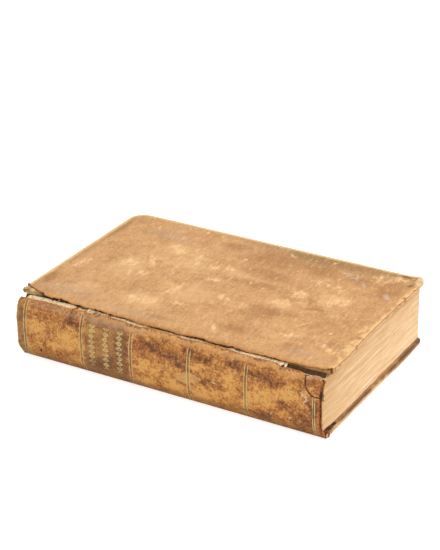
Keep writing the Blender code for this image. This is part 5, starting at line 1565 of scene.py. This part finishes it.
# ------------------------------------------------------------- the stage
def floor():
    """White paper, wide enough to fill the view."""
    material, tree, shader = new_material("studio_floor")[:3]
    shader.inputs["Roughness"].default_value = 0.9
    camera_ray = add(tree, "LightPath").outputs["Is Camera Ray"]
    paper = add(tree, "MixRGB", {"Fac": camera_ray, "Color1": (0.88, 0.88, 0.88, 1),
                                 "Color2": (0.60, 0.60, 0.60, 1)})
    tree.links.new(paper.outputs[0], shader.inputs["Base Color"])
    shader.inputs["Emission Color"].default_value = (1, 1, 1, 1)
    glow = add(tree, "Math", {0: camera_ray, 1: 0.76}, operation='MULTIPLY')
    tree.links.new(glow.outputs[0], shader.inputs["Emission Strength"])
    points = [(x, y, -FLOOR_DROP) for x, y in ((-3, -3), (3, -3), (3, 3), (-3, 3))]
    item = make_mesh("floor", points, [(0, 1, 2, 3)], (material,), {}, None, 35)


def lamp(name, place, size, watts):
    light = bpy.data.lights.new(name, 'AREA')
    light.shape = 'DISK'
    light.size = size
    light.energy = watts
    item = bpy.data.objects.new(name, light)
    bpy.context.scene.collection.objects.link(item)
    item.location = place
    item.rotation_euler = (-Vector(place)).to_track_quat('-Z', 'Y').to_euler()


def studio():
    world = bpy.data.worlds.new("studio")
    bpy.context.scene.world = world
    world.use_nodes = True
    tree = world.node_tree
    background = tree.nodes["Background"]
    seen = add(tree, "LightPath").outputs["Is Camera Ray"]
    level = add(tree, "MapRange", {"Value": seen, "To Min": 0.60, "To Max": 1.0})
    background.inputs["Color"].default_value = (1, 1, 1, 1)
    tree.links.new(level.outputs[0], background.inputs["Strength"])
    lamp("key", (0.9, 0.5, 1.5), 1.0, 17)
    lamp("fill", (0.6, -1.4, 0.9), 1.2, 6)


def camera():
    turn, lift, roll = (math.radians(v) for v in (VIEW_TURN, VIEW_LIFT, VIEW_ROLL))
    back = Vector((math.sin(turn) * math.cos(lift), -math.cos(turn) * math.cos(lift), math.sin(lift)))
    level_right = Vector((0, 0, 1)).cross(back).normalized()
    level_up = back.cross(level_right)
    right = math.cos(roll) * level_right + math.sin(roll) * level_up
    up = back.cross(right)
    middle = Vector((HEAD + BOARD_LENGTH / 2, JOINT + BOARD_WIDTH / 2, 0))
    place = back * VIEW_DISTANCE - right * VIEW_ACROSS + up * VIEW_UP + middle
    data = bpy.data.cameras.new("camera")
    data.lens = LENS
    item = bpy.data.objects.new("camera", data)
    bpy.context.scene.collection.objects.link(item)
    item.matrix_world = Matrix.Translation(place) @ Matrix((right, up, back)).transposed().to_4x4()
    bpy.context.scene.camera = item


def main():
    for side in ("front", "back"):
        cover_skin(side)
        inner_hinge(side)
        joint_cords(side)
    front_board()
    spine_skins()
    leaf_block()
    lining_stub()
    torn_fibres()
    curled_turn_in()
    back_joint_strip()
    back_corner_fold()
    dress_plain_nodes()
    floor()
    studio()
    camera()
    bpy.context.scene.view_settings.view_transform = 'Standard'


main()
